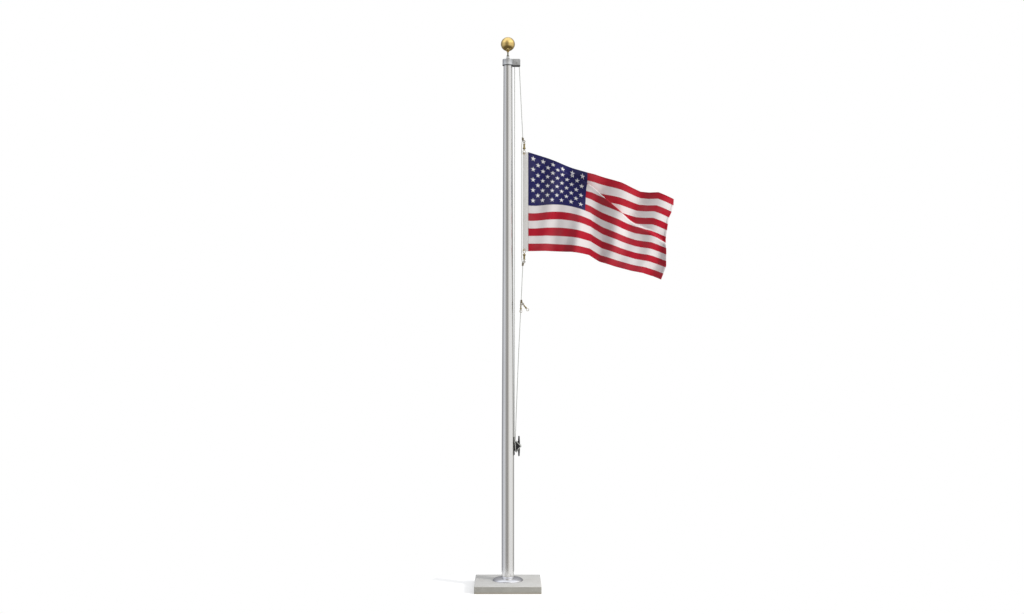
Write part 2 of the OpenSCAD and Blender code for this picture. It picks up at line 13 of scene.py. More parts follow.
import bmesh
import bpy
import numpy as np
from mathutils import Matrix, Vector

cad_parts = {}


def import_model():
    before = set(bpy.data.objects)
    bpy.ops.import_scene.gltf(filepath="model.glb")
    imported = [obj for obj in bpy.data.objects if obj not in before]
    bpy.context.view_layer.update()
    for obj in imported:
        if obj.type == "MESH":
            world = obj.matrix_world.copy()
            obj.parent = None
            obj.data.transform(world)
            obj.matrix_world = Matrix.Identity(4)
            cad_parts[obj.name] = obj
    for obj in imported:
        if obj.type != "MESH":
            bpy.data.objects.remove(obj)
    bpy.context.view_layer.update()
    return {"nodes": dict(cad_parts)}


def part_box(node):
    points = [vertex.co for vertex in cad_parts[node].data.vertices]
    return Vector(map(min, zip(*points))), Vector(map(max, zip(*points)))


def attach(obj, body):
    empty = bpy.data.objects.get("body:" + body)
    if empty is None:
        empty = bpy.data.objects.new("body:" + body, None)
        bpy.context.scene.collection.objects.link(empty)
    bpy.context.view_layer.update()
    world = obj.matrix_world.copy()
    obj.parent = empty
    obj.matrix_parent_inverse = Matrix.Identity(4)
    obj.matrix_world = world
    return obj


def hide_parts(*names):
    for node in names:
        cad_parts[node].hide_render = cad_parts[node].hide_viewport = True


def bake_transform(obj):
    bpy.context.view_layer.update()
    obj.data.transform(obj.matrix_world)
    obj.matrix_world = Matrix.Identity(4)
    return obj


LOG = logging.getLogger("flagpole")
Number = Union[int, float]
Point = tuple[float, float, float]


# ---------------------------------------------------------------- shader maths
class Expr:
    """A socket or number in a shader sum; Python operators add its Math nodes."""

    def __init__(self, kit: "Shader", value: object) -> None:
        """Wraps a value.

        Args:
            kit: the shader that the nodes go into.
            value: a socket or a number.
        """
        self.kit, self.value = kit, value

    def math(self, operation: str, *others: object) -> "Expr":
        """Adds one Math node.

        Args:
            operation: the node's operation, such as ADD.
            others: further operands.

        Returns:
            The node's result.
        """
        values = [self.value] + [o.value if isinstance(o, Expr) else o for o in others]
        return self.kit.node(
            "ShaderNodeMath", {"operation": operation}, dict(enumerate(values))
        )

    def _back(self, operation: str, other: Number) -> "Expr":
        """The sum with the number on the left."""
        return Expr(self.kit, other).math(operation, self)

    def __add__(self, o: object) -> "Expr":
        """self + o."""
        return self.math("ADD", o)

    def __radd__(self, o: Number) -> "Expr":
        """o + self."""
        return self._back("ADD", o)

    def __sub__(self, o: object) -> "Expr":
        """self - o."""
        return self.math("SUBTRACT", o)

    def __rsub__(self, o: Number) -> "Expr":
        """o - self."""
        return self._back("SUBTRACT", o)

    def __mul__(self, o: object) -> "Expr":
        """self * o."""
        return self.math("MULTIPLY", o)

    def __rmul__(self, o: Number) -> "Expr":
        """o * self."""
        return self._back("MULTIPLY", o)

    def __truediv__(self, o: object) -> "Expr":
        """self / o."""
        return self.math("DIVIDE", o)

    def __mod__(self, o: object) -> "Expr":
        """self modulo o, never negative for positive o."""
        return self.math("FLOORED_MODULO", o)

    def __gt__(self, o: object) -> "Expr":
        """1 where self is greater than o, else 0."""
        return self.math("GREATER_THAN", o)

    def __lt__(self, o: object) -> "Expr":
        """1 where self is less than o, else 0."""
        return self.math("LESS_THAN", o)

    def floor(self) -> "Expr":
        """The whole number below."""
        return self.math("FLOOR")

    def sin(self) -> "Expr":
        """The sine, in radians."""
        return self.math("SINE")

    def abs(self) -> "Expr":
        """The size without its sign."""
        return self.math("ABSOLUTE")

    def clamp(self) -> "Expr":
        """Held between 0 and 1."""
        return self.math("MAXIMUM", 0.0).math("MINIMUM", 1.0)

    def band(self, low: float, high: float) -> "Expr":
        """0 below low, 1 above high and a straight ramp between."""
        return ((self - low) * (1.0 / (high - low))).clamp()


class Shader:
    """One material's node tree, with a Principled shader ready."""

    def __init__(self, name: str, **fixed: object) -> None:
        """Makes the material.

        Args:
            name: the material's name.
            fixed: settings of the Principled shader by socket name, spaces as underscores.
        """
        self.material = bpy.data.materials.new(name)
        self.material.use_nodes = True
        self.tree = self.material.node_tree
        self.bsdf = self.tree.nodes["Principled BSDF"]
        for key, value in fixed.items():
            self.bsdf.inputs[key.replace("_", " ")].default_value = value
        self._coords: dict[str, Expr] = {}

    def node(self, kind: str, settings: dict, inputs: dict, out: object = 0) -> Expr:
        """Adds any node.

        Args:
            kind: the node's type.
            settings: its properties, set first; "ramp" gives a colour ramp's stops.
            inputs: values or links by socket name or number.
            out: the output's name or number.

        Returns:
            The asked output.
        """
        made = self.tree.nodes.new(kind)
        for key, value in settings.items():
            if key == "ramp":
                stops = made.color_ramp.elements
                while len(stops) < len(value):
                    stops.new(0.5)
                for stop, (place, colour) in zip(stops, value):
                    stop.position, stop.color = place, (*colour, 1.0)
            else:
                setattr(made, key, value)
        for key, value in inputs.items():
            value = value.value if isinstance(value, Expr) else value
            if isinstance(value, bpy.types.NodeSocket):
                self.tree.links.new(value, made.inputs[key])
            else:
                made.inputs[key].default_value = value
        return Expr(self, made.outputs[out])

    def coord(self, kind: str = "Object") -> Expr:
        """Texture coordinates of one kind, made once."""
        if kind not in self._coords:
            self._coords[kind] = self.node("ShaderNodeTexCoord", {}, {}, kind)
        return self._coords[kind]

    def axes(self, kind: str = "Object") -> tuple[Expr, Expr, Expr]:
        """The three parts of a coordinate."""
        first = self.node("ShaderNodeSeparateXYZ", {}, {0: self.coord(kind)}, 0)
        outs = first.value.node.outputs
        return first, Expr(self, outs[1]), Expr(self, outs[2])

    def scaled(self, scale: Sequence[float], kind: str = "Object") -> Expr:
        """Coordinates stretched by a factor along each axis."""
        return self.node(
            "ShaderNodeMapping", {}, {"Vector": self.coord(kind), "Scale": tuple(scale)}
        )

    def noise(self, scale: float, detail: float = 4.0, vector: Optional[Expr] = None) -> Expr:
        """Noise from 0 to 1.

        Args:
            scale: cells a metre.
            detail: octaves.
            vector: coordinates; the object's own where left out.

        Returns:
            The noise's value.
        """
        return self.node(
            "ShaderNodeTexNoise",
            {},
            {"Vector": vector or self.coord(), "Scale": scale, "Detail": detail},
            0,
        )

    def mix(self, factor: Expr, a: object, b: object) -> Expr:
        """A colour between a and b."""
        as_colour = [(*c, 1.0) if isinstance(c, tuple) and len(c) == 3 else c for c in (a, b)]
        return self.node(
            "ShaderNodeMix",
            {"data_type": "RGBA"},
            {0: factor, 6: as_colour[0], 7: as_colour[1]},
            2,
        )

    def feed(self, socket: str, value: Expr) -> None:
        """Links a value that changes over the surface to the Principled shader."""
        self.tree.links.new(value.value, self.bsdf.inputs[socket])

    def bump(self, height: Expr, depth: float, strength: float = 1.0) -> None:
        """Feeds Normal with a bump of the given depth in metres."""
        self.feed(
            "Normal",
            self.node(
                "ShaderNodeBump", {}, {"Height": height, "Distance": depth, "Strength": strength}
            ),
        )


# ---------------------------------------------------------------- finishes
@dataclass(frozen=True)
class SatinAluminium:
    """Satin-ground aluminium with a fine grain round the tube and faint weather marks."""

    tone: tuple[float, float, float] = (0.80, 0.795, 0.785)
    rough: float = 0.17
    grain: float = 900.0
    name: str = "satin_aluminium"

    def build(self) -> bpy.types.Material:
        """Makes the material."""
        s = Shader(self.name, Metallic=1.0, Specular_IOR_Level=0.5)
        grain = s.noise(1.0, 3.0, s.scaled((6.0, 6.0, self.grain)))
        stain = s.noise(1.0, 5.0, s.scaled((9.0, 9.0, 0.7)))
        low = s.noise(2.3, 4.0)
        dark = tuple(c * 0.86 for c in self.tone)
        s.feed("Base Color", s.mix(stain.band(0.42, 0.75) * 0.6, self.tone, dark))
        s.feed("Roughness", self.rough + (grain - 0.5) * 0.06 + low.band(0.4, 0.8) * 0.05)
        s.bump(grain, 0.00002, 0.35)
        return s.material


@dataclass(frozen=True)
class SpunAluminium:
    """Polished spun sheet with turning rings and small scuffs."""

    tone: tuple[float, float, float] = (0.66, 0.66, 0.69)
    name: str = "spun_aluminium"

    def build(self) -> bpy.types.Material:
        """Makes the material."""
        s = Shader(self.name, Metallic=1.0)
        x, y, _ = s.axes()
        radius = (x * x + y * y).math("SQRT")
        rings = (radius * 5200.0).sin()
        scuff = s.noise(60.0, 6.0)
        s.feed("Base Color", s.mix(scuff.band(0.6, 0.8) * 0.5, self.tone, (0.50, 0.505, 0.53)))
        s.feed("Roughness", 0.19 + scuff.band(0.5, 0.8) * 0.16)
        s.bump(rings * 0.4 + s.noise(14.0, 2.0) * 3.0, 0.00006, 0.5)
        return s.material


@dataclass(frozen=True)
class CastMetal:
    """Sand-cast metal with a fine pebbled skin and rubbed high places."""

    tone: tuple[float, float, float]
    worn: tuple[float, float, float]
    metallic: float
    rough: float
    name: str
    # lip: the height under which the shadow under the skirt is painted; -1 paints none
    lip: float = -1.0

    def build(self) -> bpy.types.Material:
        """Makes the material; below the height `lip` the skin is painted near black as the shadow under the cap's
        skirt.
        """
        s = Shader(self.name, Metallic=self.metallic)
        pebble = s.noise(700.0, 3.0)
        patch = s.noise(35.0, 5.0)
        _, _, z = s.axes()
        skin = s.mix(patch.band(0.55, 0.75) * 0.7, self.tone, self.worn)
        # painted shadow: below lip the colour goes near black, the shade under the skirt
        painted_skirt_shadow = (1.0 - z.band(self.lip - 0.003, self.lip + 0.003)) * 0.85
        s.feed("Base Color", s.mix(painted_skirt_shadow, skin, (0.07, 0.07, 0.075)))
        s.feed("Roughness", self.rough + (patch - 0.5) * 0.3)
        s.bump(pebble * 0.7 + s.noise(120.0, 2.0), 0.0005, 0.5)
        return s.material


@dataclass(frozen=True)
class GoldAnodised:
    """Gold-anodised spun ball: glossy, faint spinning rings and darker dull spots."""

    tone: tuple[float, float, float] = (0.78, 0.57, 0.22)
    name: str = "gold_anodised"

    def build(self) -> bpy.types.Material:
        """Makes the material."""
        s = Shader(self.name, Metallic=1.0)
        _, _, z = s.axes()
        rings = (z * 4200.0).sin()
        cloud = s.noise(22.0, 5.0)
        s.feed("Base Color", s.mix(cloud.band(0.5, 0.8) * 0.6, self.tone, (0.62, 0.40, 0.13)))
        s.feed("Roughness", 0.09 + cloud.band(0.45, 0.8) * 0.10)
        s.bump(rings * 0.25 + cloud, 0.00005, 0.4)
        return s.material


@dataclass(frozen=True)
class Brass:
    """Weathered brass: brown tarnish with brighter rubbed places."""

    bright: tuple[float, float, float] = (0.55, 0.44, 0.18)
    dull: tuple[float, float, float] = (0.15, 0.115, 0.05)
    tarnish: float = 0.55
    name: str = "weathered_brass"

    def build(self) -> bpy.types.Material:
        """Makes the material."""
        s = Shader(self.name, Metallic=1.0)
        patch = s.noise(60.0, 6.0)
        low = 0.4 - 0.35 * self.tarnish
        s.feed("Base Color", s.mix(patch.band(low, low + 0.5) * 0.75, self.bright, self.dull))
        s.feed("Roughness", 0.24 + patch.band(low, low + 0.3) * 0.28)
        s.bump(s.noise(900.0, 2.0) + patch, 0.00012, 0.5)
        return s.material


@dataclass(frozen=True)
class TurnedSteel:
    """Zinc-plated steel with turning marks, for nuts, pins and screws."""

    tone: tuple[float, float, float] = (0.56, 0.57, 0.55)
    name: str = "turned_steel"

    def build(self) -> bpy.types.Material:
        """Makes the material."""
        s = Shader(self.name, Metallic=1.0)
        patch = s.noise(90.0, 4.0)
        s.feed("Base Color", s.mix(patch.band(0.5, 0.8) * 0.7, self.tone, (0.33, 0.33, 0.30)))
        s.feed("Roughness", 0.28 + (patch - 0.5) * 0.25)
        s.bump(s.noise(1.0, 2.0, s.scaled((300.0, 300.0, 4000.0))), 0.00003, 0.4)
        return s.material


@dataclass(frozen=True)
class MouldedNylon:
    """Black moulded nylon of the sheave, polished by the rope in its groove."""

    name: str = "moulded_nylon"

    def build(self) -> bpy.types.Material:
        """Makes the material."""
        s = Shader(self.name, Metallic=0.0, Specular_IOR_Level=0.45)
        grain = s.noise(260.0, 4.0)
        s.feed("Base Color", s.mix(grain.band(0.4, 0.7), (0.03, 0.03, 0.032), (0.06, 0.06, 0.06)))
        s.feed("Roughness", 0.42 + (grain - 0.5) * 0.2)
        s.bump(grain, 0.0001, 0.5)
        return s.material


@dataclass(frozen=True)
class Concrete:
    """Cast concrete: broomed top and formed sides with pinholes; the top is painted lighter and the sides darker as
    light from above, the foot carries a painted brown contact shadow and the pinholes painted shade.
    """

    # top and side: the painted lit colour of the top and the painted shade of the sides
    top: tuple[float, float, float] = (0.69, 0.685, 0.665)
    side: tuple[float, float, float] = (0.31, 0.303, 0.275)
    height: float = 0.102
    name: str = "cast_concrete"

    def build(self) -> bpy.types.Material:
        """Makes the material."""
        s = Shader(self.name, Metallic=0.0, Roughness=0.9, Specular_IOR_Level=0.25)
        _, _, z = s.axes()
        speck, cloud = s.noise(420.0, 3.0), s.noise(7.0, 6.0)
        grit = s.noise(95.0, 5.0)
        # painted light and shade: the top takes the lit colour, the sides the shaded one
        base = s.mix(z.band(self.height - 0.012, self.height - 0.002), self.side, self.top)
        base = s.mix(cloud.band(0.45, 0.7) * 0.22, base, (0.47, 0.455, 0.42))
        base = s.mix(speck.band(0.58, 0.72) * 0.45, base, (0.24, 0.235, 0.22))
        base = s.mix(grit.band(0.62, 0.75) * 0.35, base, (0.72, 0.71, 0.68))
        # painted shadow: the bottom 3 cm turn dark brown, the contact shadow of the ground
        foot = (1.0 - z.band(0.0, 0.03)) * (0.4 + cloud * 0.7).clamp()
        base = s.mix(foot * 0.75, base, (0.25, 0.20, 0.13))
        pores = s.node(
            "ShaderNodeTexVoronoi", {}, {"Vector": s.coord(), "Scale": 75.0}, "Distance"
        )
        # painted shade: the sunk pinholes are coloured dark as the shade inside them
        pit = (1.0 - pores.band(0.05, 0.14)) * (s.noise(11.0, 2.0) > 0.53)
        s.feed("Base Color", s.mix(pit * 0.6, base, (0.15, 0.145, 0.13)))
        s.feed("Roughness", 0.82 + speck * 0.14)
        broom = s.noise(1.0, 2.0, s.scaled((14.0, 520.0, 30.0)))
        s.bump(broom * 0.8 + grit + speck * 0.5 - pit * 2.0, 0.0011, 0.8)
        return s.material


@dataclass(frozen=True)
class BraidedRope:
    """Braided polyester rope, its braid's hollows painted dark as shade; UV runs round the rope, then along it in
    metres.
    """

    tone: tuple[float, float, float] = (0.66, 0.68, 0.65)
    strands: float = 6.0
    pitch: float = 0.012
    name: str = "braided_rope"
    # painted shade: the colour of the hollows between the strands
    braid_valley_shade: tuple[float, float, float] = (0.30, 0.31, 0.29)

    def build(self) -> bpy.types.Material:
        """Makes the material."""
        s = Shader(self.name, Metallic=0.0, Sheen_Weight=0.25, Sheen_Roughness=0.5)
        u, v, _ = s.axes("UV")
        turn = 2.0 * math.pi
        a = (u * (turn * self.strands) + v * (turn / self.pitch)).sin()
        b = (u * (turn * self.strands) - v * (turn / self.pitch)).sin()
        braid = a * b
        yarn = (u * (turn * 48.0) + v * (turn / 0.0016)).sin()
        dirt = s.noise(9.0, 5.0)
        fine = s.noise(500.0, 3.0)
        # painted shade: the low parts of the braid take the dark hollow colour
        base = s.mix(braid.band(-0.9, 0.2), self.braid_valley_shade, self.tone)
        worn = tuple(0.66 * c for c in self.tone)
        fluff = tuple(min(1.28 * c, 1.0) for c in self.tone)
        base = s.mix(dirt.band(0.5, 0.75) * 0.4, base, worn)
        s.feed("Base Color", s.mix(fine.band(0.45, 0.7) * 0.25, base, fluff))
        s.feed("Roughness", 0.72 + (fine - 0.5) * 0.2)
        s.bump(braid * 0.7 + yarn * 0.2, 0.0006, 0.8)
        return s.material


@dataclass(frozen=True)
class Canvas:
    """Heavy white duck canvas, for the heading."""

    tone: tuple[float, float, float] = (0.83, 0.825, 0.835)
    name: str = "duck_canvas"

    def build(self) -> bpy.types.Material:
        """Makes the material."""
        s = Shader(self.name, Metallic=0.0, Sheen_Weight=0.15)
        x, _, z = s.axes()
        warp, weft = (x * 4400.0).sin(), (z * 4400.0).sin()
        soil = s.noise(6.0, 5.0)
        base = s.mix(soil.band(0.5, 0.75) * 0.5, self.tone, (0.67, 0.65, 0.62))
        s.feed("Base Color", s.mix((warp * weft).band(-1.0, 0.3) * 0.9, (0.55, 0.54, 0.5), base))
        s.feed("Roughness", 0.86 + (soil - 0.5) * 0.1)
        s.bump(warp * 0.5 + weft * 0.5 + soil, 0.0003, 0.6)
        return s.material


@dataclass(frozen=True)
class FlagNylon:
    """Dyed nylon, red and white stripes and a navy canton, from UV 0 to 1 across the cloth."""

    fly: float
    hoist: float
    canton: float
    red: tuple[float, float, float] = (0.44, 0.007, 0.024)
    white: tuple[float, float, float] = (0.80, 0.755, 0.765)
    navy: tuple[float, float, float] = (0.014, 0.013, 0.098)
    name: str = "flag_nylon"

    def build(self) -> bpy.types.Material:
        """Makes the material."""
        s = Shader(self.name, Metallic=0.0, Sheen_Weight=0.08, Sheen_Roughness=0.4,
                   Specular_IOR_Level=0.3)
        u, v, _ = s.axes("UV")
        row = (v * 13.0).floor()
        is_red = (row % 2.0) < 0.5
        cloth = s.mix(is_red, self.white, self.red)
        in_canton = (u < self.canton / self.fly) * (v > 6.0 / 13.0)
        cloth = s.mix(in_canton, cloth, self.navy)
        edge = (((v * 13.0) % 1.0) - 0.5).abs()
        stripes = 1.0 - in_canton
        fell = (edge > 0.455) * stripes
        stitch = (((u * (self.fly / 0.0045)) % 1.0) < 0.62) * ((edge - 0.452).abs() < 0.006)
        soil = s.noise(3.0, 5.0)
        cloth = s.mix(soil.band(0.45, 0.75) * 0.12, cloth, (0.35, 0.32, 0.33))
        s.feed("Base Color", s.mix(stitch * stripes * 0.5, cloth, (0.55, 0.5, 0.5)))
        ripstop = (u * (self.fly * 6283.0)).sin() * (v * (self.hoist * 6283.0)).sin()
        s.feed("Roughness", 0.52 + soil * 0.12 - fell * 0.04)
        pucker = s.noise(1.0, 3.0, s.scaled((55.0, 240.0, 1.0), "UV"))
        s.bump(ripstop * 0.15 + fell * 1.2 + pucker * (0.4 + fell), 0.0006, 0.7)
        return s.material


@dataclass(frozen=True)
class Thread:
    """Sewing thread or embroidery, matt with a fine twist, its grooves painted darker as shade."""

    tone: tuple[float, float, float]
    name: str

    def build(self) -> bpy.types.Material:
        """Makes the material."""
        s = Shader(self.name, Metallic=0.0, Sheen_Weight=0.3)
        x, _, z = s.axes()
        satin = (x * 2600.0 + z * 1500.0).sin()
        # painted shade: a darker copy of the thread's colour in the grooves of the twist
        dark = tuple(c * 0.82 for c in self.tone)
        s.feed("Base Color", s.mix(satin.band(-1.0, 0.2), dark, self.tone))
        s.feed("Roughness", 0.6 + s.noise(300.0, 2.0) * 0.2)
        s.bump(satin, 0.0002, 0.5)
        return s.material


class Finish(Enum):
    """The finishes that more than one sub-assembly uses."""

    SATIN = SatinAluminium()
    SPUN = SpunAluminium()
    # CAST paints the shadow under the skirt below 7.231 m on the cap and housing
    CAST = CastMetal((0.52, 0.53, 0.54), (0.68, 0.69, 0.69), 1.0, 0.42, "cast_aluminium", 7.231)
    DARK_CAST = CastMetal((0.045, 0.046, 0.05), (0.17, 0.17, 0.18), 0.7, 0.45, "dark_casting")
    GOLD = GoldAnodised()
    BRASS = Brass()
    BRIGHT_BRASS = Brass((0.78, 0.56, 0.22), (0.46, 0.32, 0.13), 0.2, "bright_brass")
    STEEL = TurnedSteel()
    SPINDLE = TurnedSteel((0.30, 0.29, 0.22), "spindle_metal")
    NYLON = MouldedNylon()
    CONCRETE = Concrete()
    ROPE = BraidedRope()
    # painted shade: a dark brown rope colour for the knots, standing for their shade
    KNOT_SHADE = BraidedRope((0.24, 0.19, 0.10), 6.0, 0.012, "knots_painted_shade", (0.10, 0.08, 0.05))
    CANVAS = Canvas()
    STAR_THREAD = Thread((0.86, 0.85, 0.86), "star_thread")
    SEAM_THREAD = Thread((0.78, 0.76, 0.70), "seam_thread")


_made: dict[str, bpy.types.Material] = {}


def material(finish: Finish) -> bpy.types.Material:
    """The material of a finish, made once."""
    if finish.name not in _made:
        _made[finish.name] = finish.value.build()
    return _made[finish.name]


def dress(obj: bpy.types.Object, made: bpy.types.Material) -> None:
    """Gives a piece one material in place of what it had."""
    obj.data.materials.clear()
    obj.data.materials.append(made)


# ---------------------------------------------------------------- modelling
Test = Callable[[Vector, Vector], bool]


def deselect() -> None:
    """Leaves nothing selected."""
    if bpy.context.object and bpy.context.object.mode != "OBJECT":
        bpy.ops.object.mode_set(mode="OBJECT")
    bpy.ops.object.select_all(action="DESELECT")


def edit(obj: bpy.types.Object, kind: str = "FACE") -> None:
    """Opens a piece in edit mode with nothing selected."""
    bpy.context.view_layer.objects.active = obj
    obj.select_set(True)
    bpy.ops.object.mode_set(mode="EDIT")
    bpy.ops.mesh.select_mode(type=kind)
    bpy.ops.mesh.select_all(action="DESELECT")


def pick_faces(obj: bpy.types.Object, test: Test) -> int:
    """Selects faces in edit mode.

    Args:
        obj: the piece being edited.
        test: takes a face's centre and normal.

    Returns:
        How many are selected.
    """
    mesh = bmesh.from_edit_mesh(obj.data)
    chosen = 0
    for face in mesh.faces:
        hit = test(face.calc_center_median(), face.normal)
        face.select_set(hit)
        chosen += hit
    bmesh.update_edit_mesh(obj.data)
    return chosen


def pick_edges(obj: bpy.types.Object, test: Callable[[Vector, Vector], bool]) -> int:
    """Selects edges in edit mode by their two ends.

    Args:
        obj: the piece being edited.
        test: takes the edge's ends.

    Returns:
        How many are selected.
    """
    mesh = bmesh.from_edit_mesh(obj.data)
    chosen = 0
    for edge in mesh.edges:
        hit = test(edge.verts[0].co, edge.verts[1].co)
        edge.select_set(hit)
        chosen += hit
    bmesh.update_edit_mesh(obj.data)
    return chosen


def push(move: Sequence[float], scale: Sequence[float] = (1, 1, 1), at: Optional[Point] = None) -> None:
    """Extrudes what is selected, moves it, then scales it about a point."""
    bpy.ops.mesh.extrude_region_move(TRANSFORM_OT_translate={"value": tuple(move)})
    if tuple(scale) != (1, 1, 1):
        extra = {"center_override": at} if at else {}
        bpy.ops.transform.resize(value=tuple(scale), **extra)


def close_edit(outward: bool = True) -> None:
    """Merges doubles, turns the faces outward and leaves edit mode."""
    bpy.ops.mesh.select_all(action="SELECT")
    bpy.ops.mesh.remove_doubles(threshold=0.00002)
    if outward:
        bpy.ops.mesh.normals_make_consistent(inside=False)
    bpy.ops.object.mode_set(mode="OBJECT")


def settle(obj: bpy.types.Object, name: str, smooth: float = 35.0) -> bpy.types.Object:
    """Names a piece, puts its place in its mesh and shades it smooth by angle."""
    obj.name = obj.data.name = name
    bpy.context.view_layer.objects.active = obj
    obj.select_set(True)
    bpy.ops.object.transform_apply(location=True, rotation=True, scale=True)
    bpy.ops.object.shade_smooth_by_angle(angle=math.radians(smooth))
    obj.select_set(False)
    return obj


def modify(obj: bpy.types.Object, kind: str, **settings: object) -> None:
    """Adds a modifier and applies it."""
    bpy.context.view_layer.objects.active = obj
    added = obj.modifiers.new(kind.title(), kind)
    for key, value in settings.items():
        setattr(added, key, value)
    bpy.ops.object.modifier_apply(modifier=added.name)


def lathe(
    name: str,
    profile: Sequence[tuple[float, float]],
    segments: int = 96,
    centre: tuple[float, float] = (0.0, 0.0),
    closed: bool = False,
    smooth: float = 35.0,
) -> bpy.types.Object:
    """Turns a profile round the vertical by extruding and scaling one ring of edges.

    Args:
        name: the piece's name.
        profile: (radius, height) in order.
        segments: sides of the circle.
        centre: x and y of the axis.
        closed: whether the profile comes back to its start, as in a tube's wall.
        smooth: angle under which edges are shaded smooth, in degrees.

    Returns:
        The finished piece.
    """
    deselect()
    (r0, z0), last = profile[0], profile[0]
    bpy.ops.mesh.primitive_circle_add(
        vertices=segments, radius=r0, location=(centre[0], centre[1], z0)
    )
    obj = bpy.context.object
    bpy.ops.object.transform_apply(location=True)
    bpy.ops.object.mode_set(mode="EDIT")
    bpy.ops.mesh.select_mode(type="EDGE")
    bpy.ops.mesh.select_all(action="SELECT")
    for r, z in list(profile[1:]) + ([profile[0]] if closed else []):
        bpy.ops.mesh.extrude_region_move(
            TRANSFORM_OT_translate={"value": (0, 0, z - last[1])}
        )
        k = r / last[0]
        bpy.ops.transform.resize(value=(k, k, 1), center_override=(centre[0], centre[1], z))
        last = (r, z)
    bpy.ops.mesh.select_all(action="SELECT")
    bpy.ops.mesh.remove_doubles(threshold=0.00002)
    if not closed:
        bpy.ops.mesh.fill_holes(sides=0)
    close_edit()
    return settle(obj, name, smooth)


def arc(cx: float, cz: float, r: float, a0: float, a1: float, n: int) -> list[tuple[float, float]]:
    """Points of an arc in a profile, angles in degrees from the outward axis."""
    steps = [math.radians(a0 + (a1 - a0) * i / n) for i in range(n + 1)]
    return [(cx + r * math.cos(a), cz + r * math.sin(a)) for a in steps]


def mesh_piece(
    name: str,
    points: np.ndarray,
    faces: Iterable[Sequence[int]],
    uv: Optional[np.ndarray] = None,
) -> bpy.types.Object:
    """A cloth or rope piece from its points, faces and one UV for each corner."""
    mesh = bpy.data.meshes.new(name)
    mesh.from_pydata([tuple(p) for p in points], [], [tuple(f) for f in faces])
    if uv is not None:
        layer = mesh.uv_layers.new(name="UVMap")
        layer.data.foreach_set("uv", np.asarray(uv, dtype=np.float32).ravel())
    mesh.shade_smooth()
    obj = bpy.data.objects.new(name, mesh)
    bpy.context.scene.collection.objects.link(obj)
    return obj


def smooth_path(points: Sequence[Point], step: float) -> np.ndarray:
    """A Catmull-Rom line through the points, cut into even steps.

    Args:
        points: the route.
        step: the distance between rings.

    Returns:
        The line's points.
    """
    p = np.array(points, float)
    spans = [p[:1]]
    for a, b in zip(p[:-1], p[1:]):
        parts = max(1, int(np.ceil(np.linalg.norm(b - a) / 0.09)))
        spans.append(a + (b - a) * np.linspace(0, 1, parts + 1)[1:, None])
    p = np.vstack(spans)
    ends = np.vstack([2 * p[0] - p[1], p, 2 * p[-1] - p[-2]])
    dense: list[np.ndarray] = []
    for i in range(1, len(ends) - 2):
        a, b, c, d = ends[i - 1 : i + 3]
        t = np.linspace(0, 1, 24, endpoint=False)[:, None]
        dense.append(
            0.5 * (2 * b + (c - a) * t + (2 * a - 5 * b + 4 * c - d) * t**2
                   + (3 * b - a - 3 * c + d) * t**3)
        )
    line = np.vstack(dense + [p[-1:]])
    run = np.concatenate([[0], np.cumsum(np.linalg.norm(np.diff(line, axis=0), axis=1))])
    count = max(2, int(round(run[-1] / step)) + 1)
    at = np.linspace(0, run[-1], count)
    return np.column_stack([np.interp(at, run, line[:, k]) for k in range(3)])


def rope(
    name: str,
    points: Sequence[Point],
    radius: float = 0.0048,
    relief: float = 0.00018,
    step: float = 0.003,
    sides: int = 24,
    strands: int = 6,
    pitch: float = 0.012,
) -> bpy.types.Object:
    """A rope swept along a route, its braid raised in the mesh and run along its UV map.

    Args:
        name: the piece's name.
        points: the route.
        radius: middle radius.
        relief: how far the braid stands up or sinks.
        step: distance between rings.
        sides: sides of a ring.
        strands: strands each way.
        pitch: the braid's repeat along the rope.

    Returns:
        The rope.
    """
    line = smooth_path(points, step)
    tangent = np.gradient(line, axis=0)
    tangent /= np.linalg.norm(tangent, axis=1)[:, None]
    side = np.array([0.0, 1.0, 0.01])
    sides_at = np.empty_like(line)
    for i, t in enumerate(tangent):
        side = side - t * (side @ t)
        side /= np.linalg.norm(side)
        sides_at[i] = side
    other = np.cross(tangent, sides_at)
    run = np.concatenate([[0], np.cumsum(np.linalg.norm(np.diff(line, axis=0), axis=1))])
    turn = np.arange(sides) / sides
    a = 2 * math.pi * (strands * turn[None, :] + run[:, None] / pitch)
    b = 2 * math.pi * (strands * turn[None, :] - run[:, None] / pitch)
    r = radius + relief * np.sin(a) * np.sin(b)
    angle = 2 * math.pi * turn
    ring = (
        line[:, None, :]
        + r[..., None] * np.cos(angle)[None, :, None] * sides_at[:, None, :]
        + r[..., None] * np.sin(angle)[None, :, None] * other[:, None, :]
    )
    n = len(line)
    pts = np.vstack([ring.reshape(-1, 3), line[:1], line[-1:]])
    faces, uv = [], []
    for i in range(n - 1):
        for k in range(sides):
            m = (k + 1) % sides
            faces.append((i * sides + k, i * sides + m, (i + 1) * sides + m, (i + 1) * sides + k))
            u0, u1 = k / sides, (k + 1) / sides
            uv += [(u0, run[i]), (u1, run[i]), (u1, run[i + 1]), (u0, run[i + 1])]
    for k in range(sides):
        m = (k + 1) % sides
        faces.append((n * sides, m, k))
        uv += [(0.5, run[0]), (0.5, run[0]), (0.5, run[0])]
        o = (n - 1) * sides
        faces.append((n * sides + 1, o + k, o + m))
        uv += [(0.5, run[-1]), (0.5, run[-1]), (0.5, run[-1])]
    made = mesh_piece(name, pts, faces, np.array(uv))
    dress(made, material(Finish.ROPE))
    return made


def mm(x: float, y: float, z: float) -> Point:
    """A point given in millimetres."""
    return (x / 1000.0, y / 1000.0, z / 1000.0)


def place(piece: bpy.types.Object, body: str, slot: str, *nodes: str) -> None:
    """Rides a piece on its body and hides the CAD nodes it stands for."""
    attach(piece, body)
    if nodes:
        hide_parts(*nodes)
    LOG.info("%s rides on %s", piece.name, body)


